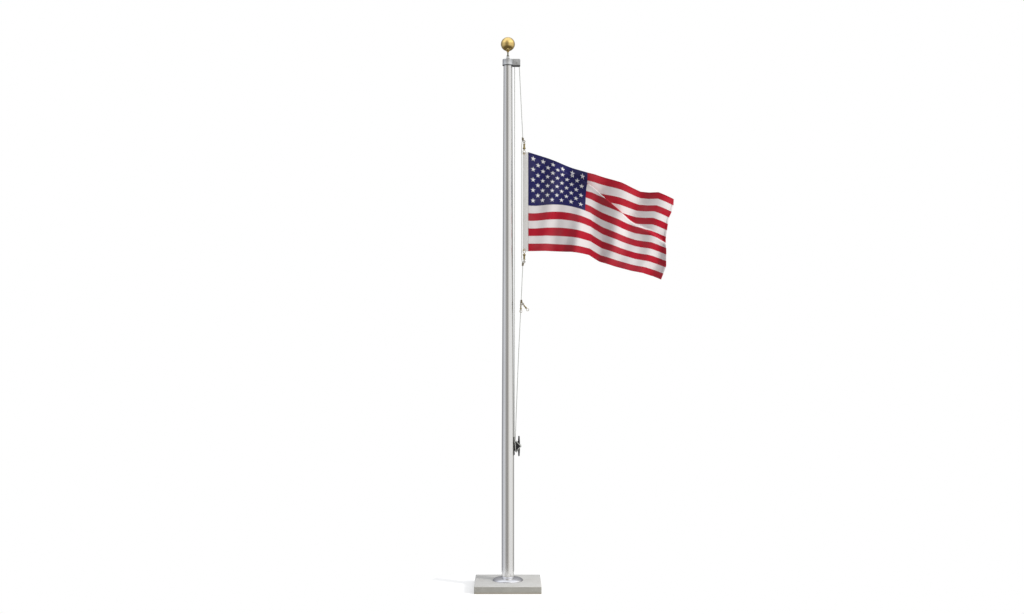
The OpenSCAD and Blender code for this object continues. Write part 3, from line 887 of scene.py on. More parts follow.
# ---------------------------------------------------------------- sub-assemblies
@dataclass
class Base:
    """The concrete pad and the spun flash collar on it."""

    width: float = 0.914
    height: float = 0.102
    edge: float = 0.010
    socket: float = 0.0863
    collar_r: float = 0.212
    collar_h: float = 0.060
    sheet: float = 0.002

    def pad(self) -> None:
        """A block with tooled edges and a round socket for the butt."""
        deselect()
        bpy.ops.mesh.primitive_cube_add(size=1, location=(0, 0, self.height / 2))
        obj = bpy.context.object
        obj.scale = (self.width, self.width, self.height)
        bpy.ops.object.transform_apply(location=True, scale=True)
        edit(obj, "EDGE")
        pick_edges(obj, lambda a, b: a.z + b.z > self.height * 1.9 or abs(a.z - b.z) > 0.05)
        bpy.ops.mesh.bevel(offset=self.edge, segments=4, profile=0.5)
        close_edit()
        bpy.ops.mesh.primitive_cylinder_add(
            vertices=96, radius=self.socket, depth=0.16, location=(0, 0, 0.022 + 0.08)
        )
        cutter = bpy.context.object
        modify(obj, "BOOLEAN", object=cutter, operation="DIFFERENCE", solver="EXACT")
        bpy.data.objects.remove(cutter)
        obj.select_set(True)
        settle(obj, "pad_block", 50)
        dress(obj, material(Finish.CONCRETE))
        place(obj, "mast", "concrete", "concrete_pad")

    def collar(self) -> None:
        """A spun dome: plain rim at the foot, low crown and a short neck round the shaft."""
        z, r1, h, t = self.height, self.collar_r, self.collar_h, self.sheet
        r0 = self.socket + 0.014
        outer = [(self.socket + t, z + h), (self.socket + t + 0.0006, z + h - 0.004)]
        outer += [(self.socket + t + 0.003, z + h - 0.009)]
        for i in range(25):
            a = math.radians(90 - 90 * i / 24)
            outer.append((r0 + (r1 - r0) * math.cos(a), z + 0.001 + (h - 0.015) * math.sin(a)))
        outer += [(r1, z + 0.0002)]
        inner = [(r1 - t, z + 0.0002)]
        for i in range(24, -1, -1):
            a = math.radians(90 - 90 * i / 24)
            inner.append((r0 + (r1 - t - r0) * math.cos(a), z + (h - 0.017) * math.sin(a)))
        inner += [(self.socket, z + h - 0.006), (self.socket, z + h)]
        obj = lathe("collar_dome", outer + inner, 160, closed=True, smooth=50)
        dress(obj, material(Finish.SPUN))
        place(obj, "mast", "spun_aluminium", "flash_collar")

    def build(self) -> None:
        """Makes the pad and the collar."""
        self.pad()
        self.collar()


@dataclass
class Shaft:
    """The tube: a straight butt and a straight taper."""

    foot: float = 0.022
    butt_top: float = 1.770
    top: float = 7.290
    butt_r: float = 0.086
    top_r: float = 0.060
    wall: float = 0.0048

    def build(self) -> None:
        """Turns the outer and inner walls, with a ring of edges every half metre."""
        rings = [(self.butt_r, self.foot)]
        rings += [(self.butt_r, 0.3), (self.butt_r, 1.0), (self.butt_r, self.butt_top)]
        for i in range(1, 12):
            k = i / 11
            r = self.butt_r + (self.top_r - self.butt_r) * k
            rings.append((r, self.butt_top + (self.top - self.butt_top) * k))
        inner = [(r - self.wall, z) for r, z in reversed(rings)]
        obj = lathe("shaft_tube", rings + inner, 128, closed=True)
        dress(obj, material(Finish.SATIN))
        place(obj, "mast", "satin_aluminium", "pole_shaft")


@dataclass
class Truck:
    """The cast truck: a cap over the shaft with a pulley housing at its side."""

    cap_r: float = 0.075
    skirt_z: float = 7.224
    roof_z: float = 7.313
    dome_z: float = 7.354
    bore: float = 0.0606
    house_x: tuple[float, float] = (0.062, 0.172)
    house_y: float = 0.0215
    house_z: tuple[float, float] = (7.210, 7.317)
    wall: float = 0.0052

    def cap(self) -> None:
        """The cap: a beaded skirt, a rounded shoulder and a bell-shaped neck up to the nut."""
        r, z = self.cap_r, self.skirt_z
        p = [(self.bore, z), (r - 0.0015, z), (r, z + 0.0015), (r, z + 0.010)]
        p += arc(r - 0.001, z + 0.0125, 0.0025, -70, 70, 5)
        p += [(r - 0.001, z + 0.016), (r - 0.0015, self.roof_z - 0.009)]
        p += arc(r - 0.0095, self.roof_z - 0.008, 0.008, 0, 88, 6)
        for i in range(17):
            a = math.radians(90 * i / 16)
            rise = (self.dome_z - self.roof_z) * (1 - math.cos(a))
            p.append((0.017 + 0.033 * (1 - math.sin(a)), self.roof_z + rise))
        p += [(0.0112, self.dome_z), (0.0112, self.dome_z - 0.02), (self.bore, 7.2902)]
        obj = lathe("truck_cap", p, 96, closed=True, smooth=40)
        dress(obj, material(Finish.CAST))
        place(obj, "mast", "cast_aluminium", "truck_body")

    def housing(self) -> None:
        """The pulley housing: a box with rounded outer corners, open below."""
        (x0, x1), (z0, z1) = self.house_x, self.house_z
        deselect()
        bpy.ops.mesh.primitive_cube_add(size=1, location=((x0 + x1) / 2, 0, (z0 + z1) / 2))
        obj = bpy.context.object
        obj.scale = (x1 - x0, 2 * self.house_y, z1 - z0)
        bpy.ops.object.transform_apply(location=True, scale=True)
        edit(obj, "EDGE")
        pick_edges(obj, lambda a, b: a.x > x1 - 0.001 and b.x > x1 - 0.001 and abs(a.y - b.y) > 0.02)
        bpy.ops.mesh.bevel(offset=0.014, segments=8)
        bpy.ops.mesh.select_mode(type="FACE")
        pick_faces(obj, lambda c, n: n.z < -0.95 and c.z < z0 + 0.001)
        bpy.ops.mesh.inset(thickness=self.wall, depth=0)
        push((0, 0, z1 - z0 - 0.006))
        bpy.ops.mesh.select_mode(type="EDGE")
        pick_edges(
            obj,
            lambda a, b: min(abs(a.y), abs(b.y)) > self.house_y - 0.0005
            and a.y * b.y > 0
            and (min(a.z, b.z) > z0 + 0.0005 or min(a.x, b.x) > x1 - 0.012),
        )
        bpy.ops.mesh.bevel(offset=0.0018, segments=3)
        close_edit()
        settle(obj, "truck_housing", 40)
        dress(obj, material(Finish.CAST))
        place(obj, "mast", "cast_aluminium")

    def ribs(self) -> None:
        """Two cheek bosses round the pin."""
        for i, side in enumerate((-1, 1)):
            deselect()
            bpy.ops.mesh.primitive_cylinder_add(
                vertices=48, radius=0.0135, depth=0.0022,
                location=(0.125, side * (self.house_y + 0.0002), 7.262), rotation=(math.pi / 2, 0, 0),
            )
            obj = bpy.context.object
            bpy.ops.object.transform_apply(location=True, rotation=True)
            modify(obj, "BEVEL", width=0.0006, segments=2)
            settle(obj, f"pin_boss_{i + 1}", 40)
            dress(obj, material(Finish.CAST))
            place(obj, "mast", "cast_aluminium")

    def build(self) -> None:
        """Makes the cap, the housing and the bosses."""
        self.cap()
        self.housing()
        self.ribs()


@dataclass
class Finial:
    """The ball: two spun halves, a raised seam and a neck insert."""

    radius: float = 0.0975
    centre: float = 7.5225
    insert_r: float = 0.018

    def build(self) -> None:
        """Makes the shell and its insert."""
        r, z = self.radius, self.centre
        deselect()
        bpy.ops.mesh.primitive_uv_sphere_add(
            segments=128, ring_count=64, radius=r - 0.0002, location=(0, 0, z)
        )
        obj = bpy.context.object
        bpy.ops.object.transform_apply(location=True)
        edit(obj, "EDGE")
        pick_edges(obj, lambda a, b: abs(a.z - z) < 1e-4 and abs(b.z - z) < 1e-4)
        bpy.ops.mesh.bevel(offset=0.0011, segments=2)
        bpy.ops.mesh.select_all(action="DESELECT")
        pick_edges(obj, lambda a, b: abs(a.z - z) < 1e-4 and abs(b.z - z) < 1e-4)
        bpy.ops.transform.resize(value=(1.0016, 1.0016, 1), center_override=(0, 0, z))
        close_edit()
        settle(obj, "ball_shell", 60)
        dress(obj, material(Finish.GOLD))
        place(obj, "mast", "gold_anodised", "finial_ball")
        foot = z - r - 0.002
        p = [(0.0112, foot), (self.insert_r - 0.001, foot), (self.insert_r, foot + 0.001)]
        p += [(self.insert_r, foot + 0.0034), (self.insert_r - 0.002, foot + 0.0052)]
        p += [(self.insert_r - 0.003, foot + 0.02), (0.0112, foot + 0.02)]
        neck = lathe("ball_insert", p, 64, closed=True)
        dress(neck, material(Finish.BRIGHT_BRASS))
        place(neck, "mast", "brass_light")


@dataclass
class Cleat:
    """The cast halyard cleat on the shaft's flag side."""

    z: float = 1.961
    bar: float = 0.153
    bar_r: float = 0.015
    stem_y: float = 0.013
    waist: float = 0.0625
    half: float = 0.142
    face: float = 0.094

    def build(self) -> None:
        """Makes the bar with its two horns, the stem and the base."""
        for piece in (self.horns(), self.stem(), self.base()):
            dress(piece, material(Finish.DARK_CAST))
            place(piece, "mast", "cast_dark", "halyard_cleat")

    def horns(self) -> bpy.types.Object:
        """The bar: thickest over the stem, drawn out to a round-ended horn each way."""
        half, r = self.half, self.bar_r
        side = [(0.0004, half), (0.0045, half - 0.0007), (0.0078, half - 0.0032)]
        side += [(0.0095, half - 0.0075), (0.0104, half - 0.016), (0.0118, half - 0.040)]
        side += [(0.0138, self.waist + 0.010), (r - 0.0002, self.waist - 0.008), (r, 0.0)]
        profile = [(a, self.z + b) for a, b in side]
        profile += [(a, self.z - b) for a, b in reversed(side[:-1])]
        return lathe("cleat_horns", profile, 48, (self.bar, 0.0), smooth=60)

    def stem(self) -> bpy.types.Object:
        """The web between base and bar, waisted where the rope turns round it."""
        z, mid = self.z, 0.116
        deselect()
        bpy.ops.mesh.primitive_cube_add(size=1, location=(mid, 0, z))
        obj = bpy.context.object
        obj.scale = (0.008, 2 * self.stem_y, 2 * self.waist)
        bpy.ops.object.transform_apply(location=True, scale=True)
        edit(obj)
        for side, steps in ((1, (0.008, 0.008, 0.007, 0.006, 0.004)), (-1, (0.006, 0.006, 0.005, 0.004, 0.003))):
            bpy.ops.mesh.select_all(action="DESELECT")
            pick_faces(obj, lambda c, n: n.x * side > 0.9)
            for step, grow in zip(steps, (1.012, 1.03, 1.055, 1.09, 1.06)):
                push((side * step, 0, 0), (1, 1.0 + (grow - 1) * 0.6, grow), (0, 0, z))
        bpy.ops.mesh.select_all(action="DESELECT")
        close_edit()
        modify(obj, "BEVEL", width=0.0045, segments=4, limit_method="ANGLE", angle_limit=0.9)
        settle(obj, "cleat_stem", 50)
        return obj

    def base(self) -> bpy.types.Object:
        """The base plate: chamfered ends, saddled to the shaft."""
        z = self.z
        deselect()
        bpy.ops.mesh.primitive_cube_add(size=1, location=(self.face - 0.010, 0, z))
        obj = bpy.context.object
        obj.scale = (0.020, 0.048, 0.250)
        bpy.ops.object.transform_apply(location=True, scale=True)
        edit(obj, "EDGE")
        pick_edges(
            obj,
            lambda a, b: min(a.x, b.x) > self.face - 0.001 and abs(a.z - b.z) < 0.001,
        )
        bpy.ops.mesh.bevel(offset=0.007, segments=5)
        close_edit()
        bpy.ops.mesh.primitive_cylinder_add(vertices=128, radius=0.0853, depth=0.4, location=(0, 0, z))
        cutter = bpy.context.object
        modify(obj, "BOOLEAN", object=cutter, operation="DIFFERENCE", solver="EXACT")
        bpy.data.objects.remove(cutter)
        modify(obj, "BEVEL", width=0.0016, segments=3, limit_method="ANGLE", angle_limit=0.7)
        obj.select_set(True)
        settle(obj, "cleat_base", 40)
        return obj


@dataclass
class Halyard:
    """The rope: two falls, the turns over the sheave and round the cleat, and its knots."""

    cleat_z: float = 1961.0
    sheave: tuple[float, float] = (125.0, 7262.0)
    pitch_r: float = 31.0
    knot_x: float = 207.0
    swivel_x: float = 226.0
    run_x: float = 190.0
    spare: tuple[float, float] = (185.0, 3960.0)
    eyelets: tuple[float, float] = (6007.0, 4679.0)
    ring: float = 24.0
    knot_s: float = 149.5
    knot_h: float = 45.0
    turns: tuple[Point, ...] = (
        (91, -31, 222), (92, -31, 150), (94, -31, 90), (98, -31, 40), (103, -30, 0),
        (106, -27, -32), (109, -23, -54), (112, -17, -68), (116, -8, -71), (118, 2, -71),
        (121, 11, -70), (124, 19, -66), (129, 23, -54), (138, 24, -41), (150, 24, -29),
        (161, 21, -19), (169, 15, -11), (173, 7, -5), (174, 0, 0), (173, -7, 5),
        (169, -15, 11), (161, -21, 19), (150, -24, 29), (138, -24, 41), (128, -23, 54),
        (122, -18, 67), (118, -9, 71), (116, 0, 71), (118, 9, 71), (122, 18, 67),
        (128, 23, 56), (138, 25, 44), (150, 25, 33), (162, 23, 23), (173, 18, 14),
        (182, 10, 8), (185, 0, 0), (182, -10, -8), (173, -18, -14), (162, -23, -23),
        (150, -25, -33), (140, -26, -47), (131, -24, -64), (124, -13, -80), (117, 0, -84),
        (111, 12, -81), (106, 23, -68), (102, 31, -46), (100, 32, -10), (100, 31, 40),
        (102, 28, 100), (105, 24, 160), (109, 20, 222),
    )

    def falls(self) -> None:
        """The runs on the mast: inner fall, the turn over the sheave and the cleat's turns."""
        sx, sz = self.sheave
        low = (91, -31, self.cleat_z + 222)
        inner = rope("rope_inner_fall", [mm(*low), mm(sx - self.pitch_r, 0, sz)])
        place(inner, "mast", "rope", "halyard_inner_run")
        lead = self.lead_angle()
        over = []
        for i in range(25):
            a = math.radians(180 - (180 - lead) * i / 24)
            over.append(mm(sx + self.pitch_r * math.cos(a), 0, sz + self.pitch_r * math.sin(a)))
        turn = rope("rope_over_sheave", over)
        place(turn, "mast", "rope", "halyard_sheave_wrap")
        cleat = rope("rope_cleat_turns", [mm(x, y, z + self.cleat_z) for x, y, z in self.turns])
        place(cleat, "mast", "rope", "halyard_cleat_turns")

    def knot_top(self) -> float:
        """Height of the upper knot's top."""
        return self.eyelets[0] + self.ring + self.knot_s + self.knot_h

    def lead_angle(self) -> float:
        """How far the outer fall leaves the vertical at the sheave, in degrees."""
        sx, sz = self.sheave
        return math.degrees(math.atan2(self.knot_x - sx - self.pitch_r, sz - self.knot_top()))

    def outer(self) -> None:
        """The outer fall: down to the flag, along it, to the spare snaps and the cleat."""
        sx, sz = self.sheave
        lead = math.radians(self.lead_angle())
        top = mm(sx + self.pitch_r * math.cos(lead), 0, sz + self.pitch_r * math.sin(lead))
        bottom = mm(self.knot_x, 0, self.knot_top())
        upper = rope("rope_upper_run", [top, bottom])
        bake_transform(upper)
        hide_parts("halyard_upper_run")
        z1 = self.eyelets[0] + self.ring + self.knot_s
        z0 = self.eyelets[1] - self.ring - self.knot_s
        x = self.run_x
        k = self.knot_x
        beside = [
            (k - 2, 0, z1 + 26), (k - 6, 0, z1 + 8), (k - 10, 0, z1 - 8), (x + 4, 0, z1 - 27),
            (x + 1, 0, z1 - 50), (x, 0, z1 - 75), (x, 0, (z0 + z1) / 2), (x, 0, z0 + 75),
            (x + 1, 0, z0 + 50), (x + 4, 0, z0 + 27), (k - 10, 0, z0 + 8), (k - 6, 0, z0 - 8),
            (k - 2, 0, z0 - 26),
        ]
        place(rope("rope_beside_flag", [mm(*p) for p in beside]), "hoist_line", "rope", "halyard_flag_run")
        kx, kz = self.spare
        middle = rope("rope_middle_run", [mm(kx, 0, kz + 26), mm(self.knot_x, 0, z0 - self.knot_h)])
        place(middle, "hoist_line", "rope", "halyard_mid_run")
        z2 = kz - 26.5
        route = [
            (kx - 4, 0, z2), (178, 0, z2 - 90), (165, 2, z2 - 360), (151, 5, z2 - 640),
            (137, 10, z2 - 980), (124, 14, z2 - 1330), (115, 18, self.cleat_z + 420),
            (109, 20, self.cleat_z + 222),
        ]
        lower = rope("rope_lower_run", [mm(*p) for p in route])
        mm(*route[-1])
        mm(*route[0])
        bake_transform(lower)
        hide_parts("halyard_lower_run")

    def knot_route(self, loop_z: float, up: int) -> list[Point]:
        """The route of one main knot: a loop through the snap's eye, then turns round itself.

        Args:
            loop_z: height of the loop's centre.
            up: 1 where the knot is above its snap, -1 where it is below.

        Returns:
            The points.
        """
        k, s = self.knot_x, self.swivel_x - 2
        base = loop_z + up * 6.0
        p = [(k, 0, base + up * 44), (k, 0, base + up * 20), (k + 2, 2, base + up * 6)]
        for a in (160, 200, 240, 280, 320, 360, 400, 440):
            t = math.radians(a)
            p.append((s + 14 * math.cos(t), 2 - 4 * (a - 160) / 280, loop_z + up * 14 * math.sin(t)))
        p.append((k + 8, -8, base + up * 9))
        for i in range(1, 27):
            t = math.radians(-60 + 52 * i)
            p.append((k + 10.4 * math.cos(t), 10.4 * math.sin(t), base + up * (9 + 1.45 * i)))
        p.append((k - 3, 5, base + up * 49))
        return [mm(*q) for q in p]

    def knots(self) -> None:
        """The upper and lower knots, and the spare snaps' knot, all dressed dark as painted shade."""
        tip = self.knot_s - 9
        rise = math.sqrt((14 - 5 - 4 - 0.3) ** 2 - 4)
        top = self.eyelets[0] + self.ring + tip + rise
        low = self.eyelets[1] - self.ring - tip - rise
        for name, node, z, up in (
            ("knot_at_upper_snap", "upper_knot", top, 1),
            ("knot_at_lower_snap", "lower_knot", low, -1),
        ):
            made = rope(name, self.knot_route(z, up), 0.0047, 0.0002, 0.0022, 20)
            # painted shade: the knots are dressed in the dark knot colour
            dress(made, material(Finish.KNOT_SHADE))
            place(made, "hoist_line", "rope", node)
        kx, kz = self.spare
        rise = math.sqrt((12 - 5 - 2.8 - 0.3) ** 2 - 1)
        p = [(kx, 0, kz + 27), (kx, 0, kz + 6), (kx - 3, -6, kz - 14)]
        ay, az = -23.0, kz - 36 + rise
        for a in (20, 65, 110, 155, 200, 245, 290, 335):
            t = math.radians(a)
            p.append((179 + 3 * (a - 180) / 180, ay + 12 * math.cos(t), az + 12 * math.sin(t)))
        for i in range(17):
            t = math.radians(-110 + 55 * i)
            p.append((kx + 11.4 * math.cos(t), 11.4 * math.sin(t), kz - 20 + 1.6 * i))
        first = rope("knot_at_spare_snaps", [mm(*q) for q in p], 0.0047, 0.0002, 0.0022, 20)
        dress(first, material(Finish.KNOT_SHADE))
        place(first, "hoist_line", "rope", "spare_knot")
        bx, bz = 208.0, kz - 37 + rise
        q = [(kx + 9, 5, kz + 12), (kx + 13, 4, kz - 2)]
        for a in (130, 85, 40, -5, -50, -95, -140, -185, -220):
            t = math.radians(a)
            q.append((bx + 12 * math.cos(t), 3 - 6 * (130 - a) / 350, bz + 12 * math.sin(t)))
        for i in range(8):
            t = math.radians(-40 + 60 * i)
            q.append((kx + 11.4 * math.cos(t), 11.4 * math.sin(t), kz + 9 + 1.9 * i))
        second = rope("knot_at_spare_snap_2", [mm(*r) for r in q], 0.0047, 0.0002, 0.0022, 20)
        dress(second, material(Finish.KNOT_SHADE))
        place(second, "hoist_line", "rope")

    def build(self) -> None:
        """Makes every run and knot."""
        self.falls()
        self.outer()
        self.knots()


@dataclass
class Flag:
    """The flag: sewn cloth in the wind, embroidered stars, hems and a canvas heading."""

    hoist: float = 1.372
    fly: float = 2.124
    canton: float = 0.869
    x0: float = 0.2812
    top: float = 6.029
    thick: float = 0.0009
    crease: tuple[tuple[float, float], tuple[float, float]] = ((0.23, 1.372), (2.124, 0.615))
    fold: float = 0.180
    half_fold: float = 0.052
    upper_edge: tuple[tuple[float, float], ...] = (
        (281, 6029), (407, 5991), (533, 5950), (640, 5908), (749, 5865), (901, 5809), (1103, 5743),
        (1203, 5719), (1455, 5643), (1572, 5604), (1704, 5542), (1842, 5483), (1958, 5467),
        (2075, 5467), (2174, 5425), (2289, 5374),
    )
    lower_edge: tuple[tuple[float, float], ...] = (
        (281, 4657), (527, 4661), (868, 4646), (1039, 4623), (1122, 4605), (1186, 4563),
        (1270, 4511), (1455, 4452), (1704, 4384), (1870, 4351), (2008, 4310), (2113, 4263),
    )
    fly_edge: tuple[tuple[float, float], ...] = (
        (2113, 4263), (2145, 4347), (2182, 4452), (2184, 4636), (2178, 4820), (2205, 5006),
        (2226, 5124), (2268, 5215), (2285, 5299), (2289, 5374),
    )

    @staticmethod
    def _along(edge: Sequence[tuple[float, float]], k: np.ndarray) -> np.ndarray:
        """Points at shares k of an edge's length, straight on past its ends."""
        p = np.array(edge, float) / 1000.0
        run = np.concatenate([[0], np.cumsum(np.linalg.norm(np.diff(p, axis=0), axis=1))])
        at = np.clip(k, 0, 1) * run[-1]
        inside = np.stack([np.interp(at, run, p[:, i]) for i in range(2)], -1)
        over = (k - np.clip(k, 0, 1))[..., None] * run[-1]
        ends = np.where((k > 0.5)[..., None], p[-1] - p[-2], p[1] - p[0])
        return inside + over * ends / np.linalg.norm(ends, axis=-1, keepdims=True)

    @staticmethod
    def _soft(x: np.ndarray) -> np.ndarray:
        """Smooth step from 0 to 1."""
        x = np.clip(x, 0, 1)
        return x * x * (3 - 2 * x)

    def at(self, s: np.ndarray, t: np.ndarray) -> np.ndarray:
        """Where points of the flat cloth lie in the wind.

        Args:
            s: distance from the heading along the fly.
            t: distance up from the lower edge.

        Returns:
            The points, in the part's frame.
        """
        (ax, ay), (bx, by) = self.crease
        length = math.hypot(bx - ax, by - ay)
        ux, uy = (bx - ax) / length, (by - ay) / length
        nx, ny = uy, -ux
        if ny > 0:
            nx, ny = -nx, -ny
        q = (s - ax) * ux + (t - ay) * uy
        d = (s - ax) * nx + (t - ay) * ny
        w = self.half_fold
        size = self.fold * (0.10 + 0.90 * self._soft((q - 0.10) / 0.55)) * self._soft(q / 0.2)
        size = size * (1 - 0.62 * self._soft((q - 0.75) / 0.75)) * (1 - 0.6 * self._soft((q - 1.3) / 0.6))
        step = (self._soft(d / (2 * w) + 0.5) - 0.5) * 2
        fade = np.exp(-np.maximum(np.abs(d) - w, 0) / 0.30)
        edges = self._soft((self.hoist - t) / 0.22) * self._soft(t / 0.22)
        t2 = t + size / 2 * step * fade * edges
        u, v = s / self.fly, t2 / self.hoist
        up, lo = self._along(self.upper_edge, u), self._along(self.lower_edge, u)
        fly_side = self._along(self.fly_edge, v)
        u_, v_ = u[..., None], v[..., None]
        c00, c01 = np.array([0.281, 4.657]), np.array([0.281, 6.029])
        c10, c11 = np.array([2.113, 4.263]), np.array([2.289, 5.374])
        hoist_side = c00 * (1 - v_) + c01 * v_
        flat = (
            (1 - v_) * lo + v_ * up + (1 - u_) * hoist_side + u_ * fly_side
            - ((1 - u_) * (1 - v_) * c00 + (1 - u_) * v_ * c01 + u_ * (1 - v_) * c10 + u_ * v_ * c11)
        )
        lift = self._soft(s / 0.55) * self._soft((1.45 - s) / 0.85)
        flat[..., 1] += 0.078 * lift * self._soft(t / 0.55) * self._soft((self.hoist - t) / 0.75)
        low = 1 - v
        grow = self._soft(s / 0.55)
        y = 0.036 * grow * np.sin(2 * math.pi * (s / 0.52 + 0.30 * low) + 0.4)
        y += 0.028 * grow * np.sin(2 * math.pi * (s / 0.83 - 0.42 * low) + 2.0) * (0.5 + 0.7 * low)
        y += 0.011 * grow * np.sin(2 * math.pi * (s / 0.27 + 0.9 * low) + 1.1) * (0.3 + low)
        y += 0.05 * self._soft((s - 1.2) / 0.9) * np.sin(2.4 * s - 1.0)
        y -= 0.42 * size * step * np.exp(-np.maximum(np.abs(d) - w, 0) / 0.16) * edges
        for corner in (0.0, self.hoist):
            dx, dz = s + 0.055, t - corner
            r = np.hypot(dx, dz)
            y += 0.0045 * np.sin(15 * np.arctan2(dz, dx)) * np.exp(-r / 0.22) * self._soft(s / 0.05)
        y *= self._soft(s / 0.12) * 0.98 + 0.02
        y -= 0.10 * self._soft((s - 0.2) / 2.2) * 0.5
        return np.stack([flat[..., 0], y, flat[..., 1]], -1)

    def lifted(self, s: np.ndarray, t: np.ndarray, height: float) -> np.ndarray:
        """Points at a height over the cloth, along its own normal; minus is behind."""
        e = 0.002
        a = self.at(s + e, t) - self.at(s - e, t)
        b = self.at(s, t + e) - self.at(s, t - e)
        n = np.cross(b, a)
        n /= np.linalg.norm(n, axis=-1, keepdims=True) + 1e-12
        n = np.where(self.front, n, -n)
        return self.at(s, t) + n * height

    @property
    def front(self) -> bool:
        """Whether the cross product of the cloth's directions points to its front."""
        a, b = np.array([1.0, 0, 0]), np.array([0, 0, 1.0])
        return bool(np.cross(b, a)[1] < 0)

    def strip(
        self, name: str, s: np.ndarray, t: np.ndarray, height: float, thick: float
    ) -> bpy.types.Object:
        """A closed layer of cloth over part of the flag.

        Args:
            name: the piece's name.
            s: the columns' places along the fly.
            t: the rows' places up the hoist.
            height: height of the layer's middle over the cloth's middle.
            thick: the layer's thickness.

        Returns:
            The layer, with the flag's UV map.
        """
        gs, gt = np.meshgrid(s, t, indexing="ij")
        n, m = gs.shape
        pts = np.vstack([
            self.lifted(gs, gt, height + thick / 2).reshape(-1, 3),
            self.lifted(gs, gt, height - thick / 2).reshape(-1, 3),
        ])
        flat = np.column_stack([gs.ravel() / self.fly, gt.ravel() / self.hoist])
        flat = np.vstack([flat, flat])
        o, faces = n * m, []
        for i in range(n - 1):
            for j in range(m - 1):
                a = i * m + j
                faces.append((a, a + m, a + m + 1, a + 1))
                faces.append((o + a, o + a + 1, o + a + m + 1, o + a + m))
        for i in range(n - 1):
            a, b = i * m, i * m + m - 1
            faces += [(a, o + a, o + a + m, a + m), (b, b + m, o + b + m, o + b)]
        for j in range(m - 1):
            a, b = j, (n - 1) * m + j
            faces += [(a, a + 1, o + a + 1, o + a), (b, o + b, o + b + 1, b + 1)]
        uv = np.array([flat[k] for f in faces for k in f])
        return mesh_piece(name, pts, faces, uv)

    def cloth(self, made: bpy.types.Material) -> bpy.types.Object:
        """The sheet of nylon."""
        obj = self.strip(
            "flag_cloth_sheet", np.linspace(0, self.fly, 231), np.linspace(0, self.hoist, 157),
            0.0, self.thick,
        )
        dress(obj, made)
        place(obj, "flag", "flag_nylon", "flag_cloth")
        return obj

    def hems(self, made: bpy.types.Material) -> list[bpy.types.Object]:
        """The turned hems: the fly's end, and the upper and lower edges, on both faces."""
        lift, inset = self.thick + 0.0002, 0.0005
        cols = np.linspace(0.004, self.fly - inset, 232)
        spans = {
            "fly": (np.linspace(self.fly - 0.028, self.fly - inset, 5), np.linspace(inset, self.hoist - inset, 157)),
            "upper": (cols, np.linspace(self.hoist - 0.012, self.hoist - inset, 3)),
            "lower": (cols, np.linspace(inset, 0.012, 3)),
        }
        done = []
        for key, (s, t) in spans.items():
            for face, side in (("front", 1), ("back", -1)):
                up = lift * side * (1.9 if key == "fly" else 1.0)
                obj = self.strip(f"hem_{key}_{face}", s, t, up, 0.0006)
                dress(obj, made)
                place(obj, "flag", "flag_nylon")
                done.append(obj)
        return done

    def star_places(self) -> list[tuple[float, float]]:
        """Centres of the stars: nine rows, six and five in turn."""
        height = self.hoist * 7 / 13
        low = self.hoist - height
        rows = []
        for r in range(9):
            for c in range(11):
                if (r + c) % 2 == 0:
                    rows.append((self.canton * (c + 1) / 12, low + height * (9 - r) / 10))
        return rows

    def stars(self) -> bpy.types.Object:
        """Embroidered stars on both faces: a five-pointed pad with a stepped rim."""
        radius = self.hoist * 0.0560 / 2
        angles = [math.radians(90 + 36 * i) for i in range(10)]
        pts, faces = [], []
        layers = ((1.0, 0.0), (1.0, 0.7), (0.90, 1.0), (0.45, 1.15))
        for side in (1, -1):
            for cs, ct in self.star_places():
                start = sum(len(p) for p in pts)
                for scale, rise in layers:
                    r = np.array([radius * (1 if i % 2 == 0 else 0.382) * scale for i in range(10)])
                    s = cs + r * np.cos(angles)
                    t = ct + r * np.sin(angles)
                    pts.append(self.lifted(s, t, side * (self.thick / 2 + 0.0011 * rise)))
                pts.append(self.lifted(np.array([cs]), np.array([ct]), side * (self.thick / 2 + 0.0013)))
                for k in range(len(layers) - 1):
                    for i in range(10):
                        j = (i + 1) % 10
                        a, b = start + 10 * k + i, start + 10 * k + j
                        quad = (a, b, b + 10, a + 10)
                        faces.append(quad if side < 0 else quad[::-1])
                o, mid = start + 10 * (len(layers) - 1), start + 10 * len(layers)
                base = [start + i for i in range(10)]
                faces.append(tuple(base[::-1] if side < 0 else base))
                for i in range(10):
                    tri = (o + i, o + (i + 1) % 10, mid)
                    faces.append(tri if side < 0 else tri[::-1])
        obj = mesh_piece("embroidered_stars", np.vstack(pts), faces)
        dress(obj, material(Finish.STAR_THREAD))
        place(obj, "flag", "flag_nylon")
        return obj

    def heading(self) -> list[bpy.types.Object]:
        """The canvas heading with punched grommet holes, folded edges and two seams."""
        lo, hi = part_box("flag_heading")
        deselect()
        centre = [(a + b) / 2 for a, b in zip(lo, hi)]
        bpy.ops.mesh.primitive_cube_add(size=1, location=centre)
        obj = bpy.context.object
        obj.scale = [b - a for a, b in zip(lo, hi)]
        bpy.ops.object.transform_apply(location=True, scale=True)
        modify(obj, "BEVEL", width=0.0011, segments=3)
        for name in ("upper_grommet", "lower_grommet"):
            low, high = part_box(name)
            bpy.ops.mesh.primitive_cylinder_add(
                vertices=48, radius=0.0109, depth=0.02, rotation=(math.pi / 2, 0, 0),
                location=[(a + b) / 2 for a, b in zip(low, high)],
            )
            cutter = bpy.context.object
            modify(obj, "BOOLEAN", object=cutter, operation="DIFFERENCE", solver="EXACT")
            bpy.data.objects.remove(cutter)
        obj.select_set(True)
        settle(obj, "canvas_heading", 40)
        dress(obj, material(Finish.CANVAS))
        place(obj, "flag", "canvas", "flag_heading")
        return [obj, self.stitches(lo, hi)]

